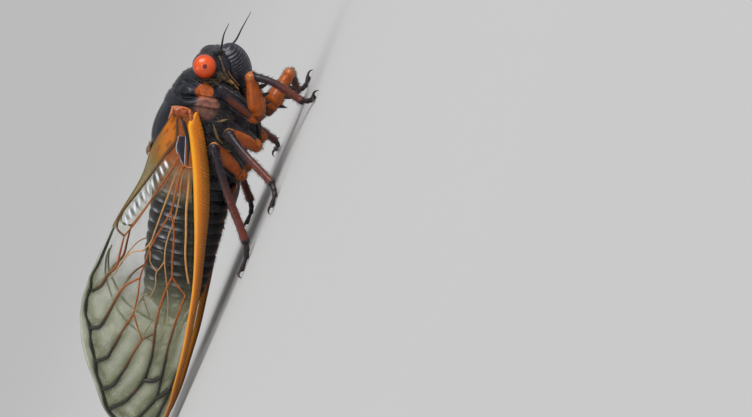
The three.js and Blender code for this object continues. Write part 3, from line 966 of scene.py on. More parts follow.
def cheek_shell():
    made = Finish("cheek_shell")
    cloud = made.noise(0.3, 4)
    pale = made.value("pale")
    base = cloud.ramp(0.3, 0.7).paint(CHEEK_DARK, CHEEK_GREY)
    gold = (pale * cloud.ramp(0.30, 0.60)).paint(base, GOLD_DUST)
    return made.close(
        Base_Color=gold,
        Roughness=0.45 + 0.2 * cloud,
        Normal=made.bump(made.noise(0.1, 3), 0.03),
        Specular_IOR_Level=0.4,
    )


CHEEK_SHELL = cheek_shell()
CHEEK_BARS = [
    (
        [(2.45, -6.60, -2.25), (2.95, -5.60, -2.85), (2.45, -4.65, -3.45), (1.85, -3.95, -4.25)],
        (0.20, 0.30, 0.28, 0.16), 0.30,
    ),
    (
        [(2.25, -6.65, -2.55), (2.72, -5.65, -3.25), (2.15, -4.70, -3.90), (1.50, -3.90, -4.75)],
        (0.06, 0.08, 0.11, 0.08), 1.0,
    ),
    ([(2.60, -4.75, -3.35), (2.15, -4.10, -4.05), (1.60, -3.50, -4.75)], (0.12, 0.24, 0.12), 1.0),
    ([(2.90, -5.10, -2.70), (2.70, -4.60, -3.10), (2.50, -4.25, -3.55)], (0.30, 0.36, 0.22), 0.45),
]
cheeks = Shape()
for side in (-1, 1):
    for route, radii, pale in CHEEK_BARS:
        add_bar(cheeks, [(side * x, y, z) for x, y, z in route], radii, 14, 30, flat=0.8, pale=pale)
keel = [(0, -4.4, -5.35), (0, -3.6, -5.75), (0, -3.0, -5.75)]
add_bar(cheeks, keel, [0.75, 0.62, 0.42], 16, 18, pale=0.0)
cheeks.piece("cheeks", CHEEK_SHELL, (), "shell")
print("cheek points:", cheeks.count)

# %% [markdown]
# The eyes are the animal's brightest part: domes of thousands of tiny lenses over red pigment.
# They are smooth enough to shine like beads. A painted pink highlight lies round a dark spot, the
# false pupil, and fainter spots stand in a ring further out. The facets are a fine cell bump.

# %% Finish and shape of the eyes
PUPIL_DARK = (0.10, 0.008, 0.020)
FAINT_SPOT = (0.30, 0.012, 0.010)
OCELLUS_DEEP = (0.45, 0.03, 0.008)
OCELLUS_RED = (0.75, 0.14, 0.05)
EYE_RADII = (1.22, 1.25, 1.25)
EYE_RED = (0.80, 0.090, 0.003)
EYE_DEEP = (0.46, 0.030, 0.002)
EYE_HIGHLIGHT_PINK = (0.86, 0.21, 0.10)
PUPIL_WAY = unit([0.95, -0.16, -0.10])
SPOTS = 6
SPOT_SPREAD = 0.38
SPOT_DEPTH = 1.24
EYE_MEAN_RADIUS = 1.225
RIM_INWARD = 0.55
RIM_RADIUS = 1.16
RIM_THICKNESS = 0.20


def eye_finish():
    made = Finish("eye_lenses")
    facets = made.cells(0.045)
    centre_x, centre_y, centre_z = EYE_CENTRE
    away = [made.x.size() - centre_x, made.y - centre_y, made.z - centre_z]
    facing = away[0] * PUPIL_WAY[0] + away[1] * PUPIL_WAY[1] + away[2] * PUPIL_WAY[2]
    facing = facing / EYE_MEAN_RADIUS
    base = facing.ramp(0.2, 0.95).paint(EYE_DEEP, EYE_RED)
    # Painted highlight: a pale pink glow round the false pupil, on the side that faces out.
    eye_highlight = made.noise(0.5, 3).ramp(0.35, 0.6) * facing.ramp(0.90, 0.97) * 0.55
    base = eye_highlight.paint(base, EYE_HIGHLIGHT_PINK)
    pupil = (facing + 0.035 * (made.noise(0.30, 3) - 0.5)).ramp(0.966, 0.984)
    base = (pupil * 0.9).paint(base, PUPIL_DARK)
    for k in range(SPOTS):
        turn = 2 * math.pi * k / SPOTS + 0.3
        spot_y = centre_y + SPOT_DEPTH * (PUPIL_WAY[1] + SPOT_SPREAD * math.cos(turn))
        spot_z = centre_z + SPOT_DEPTH * (PUPIL_WAY[2] + SPOT_SPREAD * math.sin(turn))
        gap = ((made.y - spot_y) ** 2 + (made.z - spot_z) ** 2) ** 0.5
        base = (gap.ramp(0.15, 0.05) * 0.30).paint(base, FAINT_SPOT)
    return made.close(
        Base_Color=base,
        Roughness=0.20 + 0.06 * facets,
        Normal=made.bump(facets, 0.004),
        Specular_IOR_Level=0.35,
        Coat_Weight=0.35,
        Coat_Roughness=0.06,
    )


EYE_LENSES = eye_finish()
for word, side in SIDES.items():
    eye = Shape()
    centre = EYE_CENTRE * (side, 1, 1)
    points, faces, _ = ball_points(centre, EYE_RADII, 6)
    eye.add(points, faces)
    eye.piece("eye_" + word, EYE_LENSES, ["eye_" + word], "eye")
    socket = Shape()
    turns = np.linspace(0, 2 * np.pi, 49)
    circle = [(-side * RIM_INWARD, RIM_RADIUS * math.cos(t), RIM_RADIUS * math.sin(t)) for t in turns]
    add_bar(socket, centre + circle, [RIM_THICKNESS, RIM_THICKNESS], 10, 96, pale=0.0)
    socket.piece("eye_rim_" + word, CHEEK_SHELL, (), "shell")

OCELLI = [(0.0, -6.25), (0.52, -5.65), (-0.52, -5.65)]
OCELLUS_RADII = (0.17, 0.17, 0.15)
OCELLUS_SUNK = 0.07
ocelli = Shape()
above = head_skin[head_skin[:, 2] > HEAD_CENTRE[2]]
for x, y in OCELLI:
    nearest = above[np.argmin(np.hypot(above[:, 0] - x, above[:, 1] - y))]
    points, faces, _ = ball_points(nearest - (0, 0, OCELLUS_SUNK), OCELLUS_RADII, 4)
    ocelli.add(points, faces)


def ocellus_finish():
    made = Finish("ocellus_bead")
    base = made.noise(0.2).ramp(0.3, 0.7).paint(OCELLUS_DEEP, OCELLUS_RED)
    return made.close(Base_Color=base, Roughness=0.14, Coat_Weight=0.6, Coat_Roughness=0.05)


ocelli.piece("ocelli", ocellus_finish(), (), "eye")
print("eye spots:", SPOTS)

# %% [markdown]
# A cicada's feeler is two stout barrels and then a bristle that thins to nothing. The beak is a
# jointed straw that folds back between the front legs.

# %% Finish and shape of feelers and beak
HORN_BLACK = (0.006, 0.006, 0.007)
HORN_BROWN = (0.022, 0.017, 0.016)
HORN_END = (0.05, 0.03, 0.02)
BEAK_RUST = (0.10, 0.035, 0.018)
BEAK_BLACK = (0.012, 0.008, 0.008)
BEAK_STAIN = (0.02, 0.012, 0.01)


def dark_horn():
    made = Finish("dark_horn")
    fine = made.noise(0.1, 3)
    along = made.value("along")
    base = fine.ramp(0.3, 0.7).paint(HORN_BLACK, HORN_BROWN)
    base = (along.ramp(0.75, 1.0) * 0.5).paint(base, HORN_END)
    return made.close(
        Base_Color=base,
        Roughness=0.33 + 0.2 * fine,
        Normal=made.bump(fine, 0.015),
        Specular_IOR_Level=0.45,
    )


DARK_HORN = dark_horn()
ANTENNAE = {
    "right": [(-1.95, -6.7, -2.2), (-2.45, -7.85, -2.28), (-3.05, -8.99, -2.33), (-4.3, -10.6, -2.75)],
    "left": [(1.95, -6.7, -2.4), (2.3, -7.65, -3.1), (2.85, -9.3, -3.65), (3.5, -11.0, -4.2)],
}
for word, route in ANTENNAE.items():
    feeler = Shape()
    root, knee, bend, tip_at = np.array(route)
    toward = unit(knee - root)
    add_bar(feeler, [root - toward * 0.35, root + toward * 0.25], [0.36, 0.33, 0.28], 16, 12)
    add_bar(feeler, [root + toward * 0.3, root + toward * 0.75], [0.25, 0.27, 0.2], 16, 12)
    bristle = [root + toward * 0.8, knee, bend, tip_at]
    add_bar(feeler, bristle, [0.125, 0.10, 0.075, 0.05, 0.028], 10, 60)
    feeler.piece("feeler_" + word, DARK_HORN, ["antenna_" + word], "feeler")


def beak_finish():
    made = Finish("beak_horn")
    along = made.value("along")
    fine = made.noise(0.15, 3)
    base = along.ramp(0.2, 0.9).paint(BEAK_RUST, BEAK_BLACK)
    base = (fine.ramp(0.5, 0.8) * 0.4).paint(base, BEAK_STAIN)
    return made.close(Base_Color=base, Roughness=0.35 + 0.2 * fine, Normal=made.bump(fine, 0.02))


beak = Shape()
BEAK_PATH = [(0, -3.4, -5.2), (0, -0.4, -7.2), (0, 2.2, -8.0)]


def beak_form(share, turn):
    return 1 - 0.16 * hill(share, 0.42, 0.02) - 0.18 * hill(turn, 1.5 * np.pi, 0.2)


add_bar(beak, BEAK_PATH, [0.56, 0.5, 0.4, 0.34, 0.27, 0.16], 24, 80, form=beak_form)
beak.piece("beak", beak_finish(), ["rostrum"], "beak")
print("feelers:", len(ANTENNAE))

# %% [markdown]
# Three kinds of leg stand under the thorax. The coxa hangs from the body, the femur is the strong
# orange part, the tibia is a thin dark rod and the tarsus is the jointed foot with two claws.
# The front femora are thick and carry spines, from the young insect's life as a digger. The
# joints of a leg are its root, hip and knee on the body. Its foot is the ankle's and the toe's
# place on the floor. They are the same as in the solids.

# %% List the legs
FORE_RADII = {
    "coxa": (0.95, 0.80),
    "femur": (0.74, 1.12, 0.99, 0.77, 0.64),
    "tibia": (0.42, 0.38, 0.40, 0.36),
}
MIDDLE_RADII = {
    "coxa": (1.25, 0.80),
    "femur": (0.55, 0.70, 0.68, 0.50),
    "tibia": (0.42, 0.36, 0.41, 0.38),
}
HIND_RADII = {
    "coxa": (1.30, 0.82),
    "femur": (0.56, 0.70, 0.70, 0.52),
    "tibia": (0.44, 0.37, 0.41, 0.40),
}
RADII = {"fore": FORE_RADII, "middle": MIDDLE_RADII, "hind": HIND_RADII}
JOINTS = {
    "fore_right": ((-3.0, -3.3, -3.1), (-2.6, -1.1, -7.1), (-3.7, -5.5, -6.0)),
    "fore_left": ((3.0, -3.2, -3.1), (2.5, -0.8, -7.4), (3.7, -5.4, -9.5)),
    "middle_right": ((-2.2, 0.2, -4.2), (-2.6, 1.9, -7.8), (-5.7, 0.5, -4.9)),
    "middle_left": ((2.2, 0.2, -4.2), (2.6, 1.9, -7.8), (5.8, 0.6, -5.1)),
    "hind_right": ((-2.2, 3.7, -4.6), (-2.5, 5.3, -6.8), (-5.3, 2.3, -3.6)),
    "hind_left": ((2.2, 3.7, -4.6), (2.5, 5.3, -6.8), (5.3, 2.5, -3.9)),
}
FEET = {
    "fore_right": ((-5.9, -6.6), (-8.2, -7.9)),
    "fore_left": ((6.6, -5.0), (8.9, -6.4)),
    "middle_right": ((-10.95, 1.6), (-13.2, 3.2)),
    "middle_left": ((9.6, 1.6), (11.8, 3.0)),
    "hind_right": ((-9.2, 8.8), (-10.0, 11.6)),
    "hind_left": ((8.4, 8.6), (9.2, 11.4)),
}
ANKLE_HEIGHT = 1.0
print("legs:", len(JOINTS))

# %% [markdown]
# The coxae are dark, almost blue, with rust in the hollow between two black edges. The femora are
# burnt orange, streaked with brown along their length, and end in a cream ring at the knee. The
# tibiae start purple-black and turn red-brown towards the foot, which is black. Each finish reads
# how far along its own part the point lies.

# %% Finishes of the legs
COXA_BLUE = (0.020, 0.019, 0.028)
COXA_RUST = (0.13, 0.030, 0.012)
EDGE_DUST = (0.22, 0.17, 0.13)
FEMUR_EDGE = (0.060, 0.014, 0.006)
HIP_BROWN = (0.040, 0.014, 0.008)
TIBIA_PURPLE = (0.014, 0.007, 0.013)
TIBIA_STREAK = (0.22, 0.042, 0.010)
FOOT_BLACK = (0.008, 0.005, 0.006)
FOOT_BROWN = (0.024, 0.011, 0.010)
CLAW_BROWN = (0.10, 0.03, 0.018)
LEG_ORANGE = (0.48, 0.100, 0.003)
LEG_RUST = (0.34, 0.058, 0.003)
LEG_WINE = (0.115, 0.020, 0.010)
LEG_INK = (0.009, 0.006, 0.010)
KNEE_CREAM = (0.50, 0.24, 0.09)


def leg_finish(name, paint_it, gloss=0.30, coat=0.15):
    made = Finish(name)
    along = made.value("along")
    hair_grain = made.noise(0.10, 3)
    cloud = made.noise(0.7, 4)
    return made.close(
        Base_Color=paint_it(made, along, cloud),
        Roughness=gloss + 0.18 * hair_grain,
        Normal=made.bump(hair_grain * 0.7 + cloud * 0.8, 0.03),
        Specular_IOR_Level=0.32,
        Coat_Weight=coat * cloud.ramp(0.25, 0.6),
        Coat_Roughness=0.15,
    )


def coxa_paint(made, along, cloud):
    ridge = made.value("ridge")
    base = cloud.ramp(0.35, 0.7).paint(LEG_INK, COXA_BLUE)
    rust = ridge.ramp(0.35, 0.85) * along.ramp(0.1, 0.35)
    base = rust.paint(base, COXA_RUST)
    end = along.ramp(0.86, 0.94) * cloud.ramp(0.2, 0.45)
    base = end.paint(base, LEG_ORANGE)
    dust = made.value("dust") * made.noise(0.2, 3).ramp(0.35, 0.6)
    return dust.paint(base, EDGE_DUST)


def femur_paint(made, along, cloud):
    ridge = made.value("ridge")
    streaks = made.noise(0.8, 3).ramp(0.35, 0.75)
    base = streaks.paint(LEG_ORANGE, LEG_RUST)
    edge = ridge.ramp(0.55, 0.95) * (0.35 + 0.55 * cloud.ramp(0.3, 0.6))
    base = edge.paint(base, FEMUR_EDGE)
    hip = along.ramp(0.12, 0.03) * 0.75
    base = hip.paint(base, HIP_BROWN)
    knee = (along + 0.10 * (cloud - 0.5)).ramp(0.945, 0.99) * made.value("cream")
    base = knee.paint(base, KNEE_CREAM)
    return made.value("ink").paint(base, LEG_INK)


def tibia_paint(made, along, cloud):
    base = (along + 0.30 * (cloud - 0.5)).ramp(0.22, 0.80).paint(TIBIA_PURPLE, LEG_WINE)
    streak = made.noise(0.3, 4).ramp(0.48, 0.72) * along.ramp(0.2, 0.9) * 0.7
    base = streak.paint(base, TIBIA_STREAK)
    return along.ramp(0.965, 1.0).paint(base, LEG_INK)


def foot_paint(made, along, cloud):
    base = cloud.ramp(0.3, 0.7).paint(FOOT_BLACK, FOOT_BROWN)
    return (made.value("ridge") * 0.6).paint(base, CLAW_BROWN)


COXA_FINISH = leg_finish("coxa_shell", coxa_paint)
FEMUR_FINISH = leg_finish("femur_shell", femur_paint, 0.28, 0.25)
TIBIA_FINISH = leg_finish("tibia_shell", tibia_paint)
FOOT_FINISH = leg_finish("foot_shell", foot_paint, 0.34, 0.1)
print("leg finishes: 4")

# %% [markdown]
# A coxa is a bar pressed flat, and a front one has raised edges. A femur swells in the middle and
# is angular rather than round. A tibia bows a little and ends in small spurs. A foot has three
# barrels and two hooked claws that reach down to the floor.

# %% Shape the legs
SPINE_SHARES = (0.30, 0.52, 0.74)
SPUR_BEND = 0.15
BARREL_GAP = 0.04
BARRELS = [(0.24, 0.27, 0.30), (0.22, 0.27, 0.28), (0.19, 0.20, 0.24, 0.27)]
CLAW_BENDS = [(0.0, 0.0, 0.34), (0.42, 0.26, 0.46), (0.72, 0.50, 0.30), (0.80, 0.60, 0.06)]


def add_spike(shape, root, way, length, radius, bend, **values):
    """A short sharp spine or spur."""
    root = np.asarray(root, float)
    way = unit(way)
    middle = root + way * length * 0.5 + np.array([0, 0, bend * length * 0.3])
    radii = [radius, radius * 0.7, radius * 0.12]
    add_bar(shape, [root, middle, root + way * length], radii, 8, 10, **values)


def ridge_values(count, sides, turn_of_edge, width):
    """1 on one line along a bar, falling to 0 beside it."""
    turn = np.linspace(0, 2 * np.pi, sides, endpoint=False)
    gap = np.abs((turn - turn_of_edge + np.pi) % (2 * np.pi) - np.pi)
    return np.tile(1 - smooth_step(gap, 0.1, width), count + 2 * (ROUND_STEPS - 1))


def coxa_form(share, turn):
    return 1 - 0.16 * hill(turn, np.pi, 0.5) + 0.07 * np.sin(np.pi * share)


def femur_form(share, turn):
    keel = 0.10 * hill(turn, 1.5 * np.pi, 0.45)
    flats = 0.03 * np.cos(3 * turn)
    neck = -0.12 * hill(share, 0.16, 0.05)
    knee = 0.10 * hill(share, 0.97, 0.05)
    return 1 + keel + flats + neck + knee


def tibia_form(share, turn):
    knob = 0.28 * hill(share, 0.03, 0.04)
    end = 0.16 * hill(share, 0.98, 0.05)
    return 1 + knob + end + 0.04 * np.cos(4 * turn)


def make_foot(name, ankle, toe):
    """Three barrels and two claws, resting on the floor."""
    heel = on_ground(*ankle, ANKLE_HEIGHT)
    span = np.array(toe) - np.array(ankle)
    first = on_ground(*(np.array(ankle) + span * 0.28), 0.52)
    second = on_ground(*(np.array(ankle) + span * 0.52), 0.32)
    last = on_ground(*toe, 0.30)
    foot = Shape()
    for a, b, radii in zip((heel, first, second), (first, second, last), BARRELS):
        path = [a + (b - a) * BARREL_GAP, b - (b - a) * BARREL_GAP]
        add_bar(foot, path, radii, 14, 14, ridge=0.0)
    foot.piece(name + "_foot", FOOT_FINISH, [name + "_tarsus"], "foot")
    claws = Shape()
    ahead = span / np.linalg.norm(span)
    aside = np.array([-ahead[1], ahead[0]])
    for way in (-1, 1):
        hook = []
        for far, out, height in CLAW_BENDS:
            hook.append(on_ground(*(np.array(toe) + ahead * far + aside * way * out), height))
        add_bar(claws, hook, [0.15, 0.13, 0.09, 0.02], 10, 18, ridge=0.3)
    claws.piece(name + "_claws", FOOT_FINISH, (), "foot")


def make_coxa(name, root, hip, knee, radii, is_fore, side):
    """The joint that hangs from the body, with the ball that the femur turns on."""
    coxa = Shape()
    edge = ridge_values(30, 24, np.pi, 1.0) * (1.0 if is_fore else 0.45)
    add_bar(coxa, [root, hip], radii, 24, 30, 0.85, coxa_form, ridge=edge)
    hinge = hip + unit(knee - hip) * 0.25
    points, faces, _ = ball_points(hinge, np.array([0.72, 0.72, 0.72]) * radii[1] * 1.1, 4)
    coxa.add(points, faces, along=1.0, ridge=0.0)
    if is_fore:
        edge_way = unit(np.cross(unit(hip - root), (1, 0, 0)))
        for way in (-1, 1):
            shift = edge_way * way * 0.66 + np.array([side * 0.52, 0, 0])
            rim = [root + shift * 0.9, (root + hip) / 2 + shift * 1.12, hip + shift * 0.82]
            add_bar(coxa, rim, (0.12, 0.19, 0.15), 12, 30, ridge=0.0)
            crest = [place + np.array([side * 0.13, 0, 0]) for place in rim]
            add_bar(coxa, crest, (0.03, 0.055, 0.04), 8, 30, ridge=0.0, dust=1.0)
    return coxa.piece(name + "_coxa_shell", COXA_FINISH, [name + "_coxa"], "coxa")


def make_femur(name, hip, knee, radii, is_fore):
    """The strong orange part, which carries three spines on a front leg."""
    femur = Shape()
    start = hip + (knee - hip) * 0.06 + np.array([0, 0, -0.45 if is_fore else 0.0])
    edge = ridge_values(44, 28, 1.5 * np.pi, 0.9)
    cream = 0.25 if is_fore else 0.8
    add_bar(femur, [start, knee], radii, 28, 44, 0.88, femur_form, ridge=edge, cream=cream)
    if is_fore:
        along = unit(knee - hip)
        down = unit(np.array([0, -0.35, -1]) - along * np.dot([0, -0.35, -1], along))
        way = down + along * 0.35
        for k, share in enumerate(SPINE_SHARES):
            foot_of = hip + (knee - hip) * share + down * 0.95
            add_spike(femur, foot_of, way, 1.05 - 0.15 * k, 0.26, 0.0, ridge=1.0, ink=1.0)
    return femur.piece(name + "_femur_shell", FEMUR_FINISH, [name + "_femur"], "femur")


def make_tibia(name, knee, heel, radii, is_fore, side):
    """The thin bowed rod, with four spurs at its lower end."""
    tibia = Shape()
    outward = np.array([0.0, -0.42, 0.16] if is_fore else [side * 0.16, -0.06, 0.24])
    bow = knee + (heel - knee) * 0.34 + outward
    add_bar(tibia, [knee, bow, heel], radii, 20, 60, 1.0, tibia_form)
    down_leg = unit(heel - bow)
    for k in range(4):
        turn = k * math.pi / 2 + 0.4
        aside = np.array([math.cos(turn), math.sin(turn) * 0.6, math.sin(turn)])
        add_spike(tibia, heel - down_leg * 0.1, down_leg + aside * 0.7, 0.42, 0.07, SPUR_BEND)
    return tibia.piece(name + "_tibia_shell", TIBIA_FINISH, [name + "_tibia"], "tibia")


LEG_PIECES = {}
for name, joints in JOINTS.items():
    root, hip, knee = np.array(joints)
    ankle, toe = FEET[name]
    heel = on_ground(*ankle, ANKLE_HEIGHT)
    kind, word = name.split("_")
    radii, is_fore, side = RADII[kind], kind == "fore", SIDES[word]
    coxa = make_coxa(name, root, hip, knee, radii["coxa"], is_fore, side)
    femur = make_femur(name, hip, knee, radii["femur"], is_fore)
    tibia = make_tibia(name, knee, heel, radii["tibia"], is_fore, side)
    LEG_PIECES[name] = [(coxa, hip - root), (femur, knee - hip), (tibia, heel - knee)]
    make_foot(name, ankle, toe)
print("leg pieces:", 5 * len(JOINTS))

# %% [markdown]
# The wings fold over the back like a tent roof. A wing is thin clear skin stretched on veins,
# and each side has a big front wing over a smaller hind wing. A row of bent cuts across the wing,
# the same ones that the solids use, gives its surface. Places on it are then written as how far
# along the body they are and which share of the cut they are at, 0 at the stout front edge and 1
# at the rear edge on the back. The right wing's list serves the left one too. The hind wing lies
# close under the front one, so it is a smaller outline on the same surface, sunk a little.

# %% Describe the wing surfaces
FOREWING_ROWS = [
    [-0.6, 4.75, -1.4, 4.95, 0.2, 4.3, 1.1],
    [1.75, 5.2, -2.45, 5.4, 0.9, 4.2, 2.2],
    [3.9, 5.7, -3.2, 5.8, 2.2, 2.9, 3.05],
    [7.7, 6.5, -4.1, 5.9, 3.1, 1.2, 3.8],
    [13.0, 6.9, -4.6, 5.1, 3.0, 0.85, 5.75],
    [18.1, 6.4, -4.85, 4.4, 2.9, 0.75, 7.1],
    [21.4, 6.0, -4.8, 4.0, 2.6, 0.75, 7.75],
    [24.8, 5.5, -4.7, 3.6, 2.3, 0.75, 7.7],
    [28.0, 4.8, -4.4, 3.1, 1.9, 0.8, 6.8],
    [31.6, 4.1, -4.0, 2.7, 1.2, 0.9, 4.9],
    [34.8, 3.5, -3.2, 2.5, -0.2, 1.2, 2.6],
    [36.9, 3.0, -2.2, 2.6, -1.5, 2.2, -0.9],
    [37.3, 2.8, -1.9, 2.6, -1.7, 2.45, -1.4],
]
HIND_OUTLINE = [
    [4.9, 0.20, 0.34], [6.2, 0.16, 0.52], [8.0, 0.14, 0.70], [11.0, 0.12, 0.84], [14.0, 0.10, 0.92],
    [17.2, 0.08, 0.94], [19.2, 0.07, 0.88], [20.6, 0.07, 0.79], [21.6, 0.07, 0.73], [22.6, 0.08, 0.66],
    [23.7, 0.10, 0.52], [24.4, 0.13, 0.41], [24.9, 0.19, 0.29],
]
HIND_DEPTH = 0.62
forewing_cut = run_through(FOREWING_ROWS)
hind_outline = run_through(HIND_OUTLINE)


def wing_surface(along, share, side, lift=0.0):
    """Points on a wing, and the unit directions out of it and across it towards its rear edge."""
    along, share = np.broadcast_arrays(np.asarray(along, float), np.asarray(share, float))
    held = forewing_cut(along)
    front, bend, rear = held[..., 0:2], held[..., 2:4], held[..., 4:6]
    t = share[..., None]
    flat = (1 - t) ** 2 * front + 2 * t * (1 - t) * bend + t**2 * rear
    across = unit(2 * (1 - t) * (bend - front) + 2 * t * (rear - bend))
    nothing = np.zeros_like(along)
    out = np.stack([side * across[..., 1], nothing, -across[..., 0]], -1)
    over = np.stack([side * across[..., 0], nothing, across[..., 1]], -1)
    skin = np.stack([side * flat[..., 0], along, flat[..., 1]], -1)
    return skin + out * np.asarray(lift)[..., None], out, over


print("front wing length, mm:", round(FOREWING_ROWS[-1][0] - FOREWING_ROWS[0][0], 1))

# %% [markdown]
# The clear skin of the wing is a dry film. It lets most light through, takes a faint straw tint,
# wrinkles a little and shines where light glances off it, so its alpha rises with the glancing
# angle. Near the root it thickens and turns amber and red-brown. Outwards its alpha rises into a
# milky haze, a painted glare of the sky, strongest in the middle of each swollen cell. By the rear
# edge a fold is corrugated, and white highlights are painted on its rungs. A darker border along
# the dark veins is painted shade. This cell makes the finish and the function that shapes a film;
# the films themselves wait until the veins are listed.

# %% Finish of the clear wing skin
FORE_STRAW = (0.32, 0.34, 0.18)
HIND_STRAW = (0.30, 0.28, 0.14)
FILM_PALE = (0.62, 0.64, 0.48)
FILM_SHADE = (0.045, 0.050, 0.016)
ROOT_AMBER = (0.36, 0.092, 0.009)
RUNG_HIGHLIGHT_WHITE = (0.80, 0.84, 0.95)


def wing_film(name, tint, thickness, glare_alpha, root_end):
    made = Finish(name)
    wrinkle = made.noise(0.9, 4, 0.6)
    fine = made.noise(0.25, 3)
    glance = made.wire.node("ShaderNodeLayerWeight", None, {"Blend": 0.25})
    root = (made.y + 2.0 * (wrinkle - 0.5)).ramp(root_end, root_end - 3.0)
    pearl = made.value("pearl")
    cell = made.value("cell")
    base = (fine.ramp(0.3, 0.8) * 0.5).paint(tint, FILM_PALE)
    smoke = made.value("smoke")
    # Painted shade: the film darkens in a soft border along the dark veins.
    base = (smoke * 0.9).paint(base, FILM_SHADE)
    base = root.paint(base, ROOT_AMBER)
    # Painted highlights: white rungs on the corrugated fold by the rear edge.
    base = pearl.ramp(0.2, 0.8).paint(base, RUNG_HIGHLIGHT_WHITE)
    # Painted glare: the film's alpha rises outwards into a milky sky reflection, most in the middle of
    # each swollen cell.
    painted_glare = made.y.ramp(16.0, 24.0) * (glare_alpha + 0.16 * cell * wrinkle.ramp(0.3, 0.6))
    solid = thickness + 0.008 * wrinkle + painted_glare + 0.12 * glance * glance + 0.60 * root
    solid = solid + 0.75 * pearl + 0.55 * smoke
    return made.close(
        Base_Color=base,
        Roughness=0.10 + 0.12 * fine,
        Alpha=solid,
        Normal=made.bump(wrinkle + 0.25 * fine, 0.10),
        Specular_IOR_Level=0.7,
    )


FORE_FILM = wing_film("front_wing_film", FORE_STRAW, 0.006, 0.23, 7.2)
HIND_FILM = wing_film("hind_wing_film", HIND_STRAW, 0.003, 0.06, 9.4)
FILM_HALF = 0.02
FILM_DEPTH = 0.14
LADDER_STEP = 0.83
LADDER_ENDS = (4.2, 13.8)
LADDER_PITCH = 2 * math.pi / LADDER_STEP
FOLD = [
    (4.15, 0.33), (5.0, 0.35), (6.1, 0.40), (8.7, 0.52), (10.9, 0.61), (12.8, 0.69), (14.3, 0.76),
]
REAR_FOLD = [
    (0.3, 0.70), (1.4, 0.56), (2.5, 0.47), (4.9, 0.56), (7.9, 0.75), (10.2, 0.88), (11.9, 0.945),
    (13.0, 0.95), (13.8, 0.91), (14.3, 0.76),
]


def highlight_ladder(along, share):
    """The painted white highlights on the rungs where the fold by the rear edge is corrugated."""
    fold = np.interp(along, [p[0] for p in FOLD], [p[1] for p in FOLD])
    rear = np.interp(along, [p[0] for p in REAR_FOLD[:8]], [p[1] for p in REAR_FOLD[:8]])
    middle = (fold + rear) / 2
    width = np.maximum(0.30 * (rear - fold), 0.01)
    strip = np.exp(-(((share - middle) / width) ** 2))
    rung = smooth_step(np.sin((along + 6.0 * (share - middle)) * LADDER_PITCH), 0.0, 0.75)
    begun = smooth_step(along, LADDER_ENDS[0], LADDER_ENDS[0] + 1.0)
    return strip * rung * begun * (1 - smooth_step(along, 13.0, LADDER_ENDS[1]))


def add_film(shape, side, along, share, lift, ripple, pearl=None, smoke=None):
    """The film as a very thin closed shell that swells a little between its veins."""
    waves = np.sin(along * 1.9 + share * 9) * np.sin(share * 23 - along * 0.7)
    outer, _, _ = wing_surface(along, share, side, ripple * waves + lift + FILM_HALF)
    inner, _, _ = wing_surface(along, share, side, ripple * waves + lift - FILM_HALF)
    rings = np.concatenate([outer, inner[:, ::-1]], axis=1)
    masks = {
        "pearl": pearl(along, share) if pearl else np.zeros_like(waves),
        "cell": 0.5 + 0.5 * waves,
        "smoke": smoke(along, share) if smoke else np.zeros_like(waves),
    }
    for name, mask in masks.items():
        masks[name] = np.concatenate([mask, mask[:, ::-1]], axis=1)
    shape.sweep(rings, **masks)


print("rungs of the ladder:", round((LADDER_ENDS[1] - LADDER_ENDS[0]) / LADDER_STEP))

# %% [markdown]
# The veins are hollow struts. They leave the root red-orange and darken towards the tip, where
# they are almost black, and they fork and meet to make the cells. Each vein below is named for
# where it runs and typed as a few places on the wing, so the same list makes both wings.

# %% List the veins
FRONT_VEINS = {
    "stem": ([(4.8, 0.245), (6.3, 0.27), (8.9, 0.29), (10.1, 0.30)], 0.15, 0.13),
    "fork_upper": ([(10.1, 0.30), (12.1, 0.37), (14.6, 0.44), (16.3, 0.46), (18.1, 0.48)], 0.12, 0.12),
    "fork_lower": ([(10.1, 0.30), (11.1, 0.265), (12.8, 0.24), (14.8, 0.23), (16.9, 0.21)], 0.13, 0.12),
    "first_branch": (
        [(18.1, 0.48), (19.5, 0.60), (21.9, 0.68), (23.6, 0.73), (25.0, 0.80), (25.4, 0.90)],
        0.12, 0.17,
    ),
    "first_stem": ([(18.1, 0.48), (19.7, 0.47), (22.2, 0.48)], 0.12, 0.12),
    "second_branch": (
        [(22.2, 0.48), (23.6, 0.53), (26.5, 0.64), (27.9, 0.71), (29.0, 0.88)],
        0.12, 0.17,
    ),
    "second_stem": ([(22.2, 0.48), (23.0, 0.45), (24.8, 0.38)], 0.11, 0.11),
    "third_branch": ([(24.8, 0.38), (26.7, 0.45), (29.2, 0.56), (31.0, 0.70), (31.9, 0.90)], 0.12, 0.17),
    "third_link": ([(24.8, 0.38), (24.2, 0.33), (23.7, 0.28)], 0.10, 0.10),
    "long_branch": (
        [(16.9, 0.21), (18.9, 0.25), (20.8, 0.27), (23.1, 0.28), (26.9, 0.28), (29.3, 0.33),
         (32.0, 0.52), (33.9, 0.88)],
        0.13, 0.17,
    ),
    "short_link": ([(16.9, 0.21), (17.8, 0.15), (18.5, 0.09)], 0.10, 0.10),
    "front_branch": (
        [(18.5, 0.09), (20.9, 0.12), (24.3, 0.15), (28.3, 0.16), (30.9, 0.18), (33.6, 0.37), (35.4, 0.62)],
        0.13, 0.16,
    ),
    "dark_link_one": ([(29.3, 0.33), (29.1, 0.24), (28.3, 0.16)], 0.27, 0.20),
    "dark_link_two": ([(31.0, 0.18), (30.2, 0.11), (29.3, 0.06)], 0.26, 0.22),
    "edge_branch": ([(27.4, 0.04), (29.3, 0.06), (31.5, 0.09), (33.4, 0.14), (35.6, 0.35)], 0.14, 0.16),
    "fold": (FOLD, 0.12, 0.12),
    "cell_foot": ([(4.8, 0.245), (4.95, 0.20), (4.85, 0.13)], 0.12, 0.12),
    "rear_branch": (
        [(14.3, 0.76), (16.0, 0.745), (17.8, 0.74), (19.0, 0.80), (20.4, 0.84), (21.3, 0.91)],
        0.11, 0.15,
    ),
}
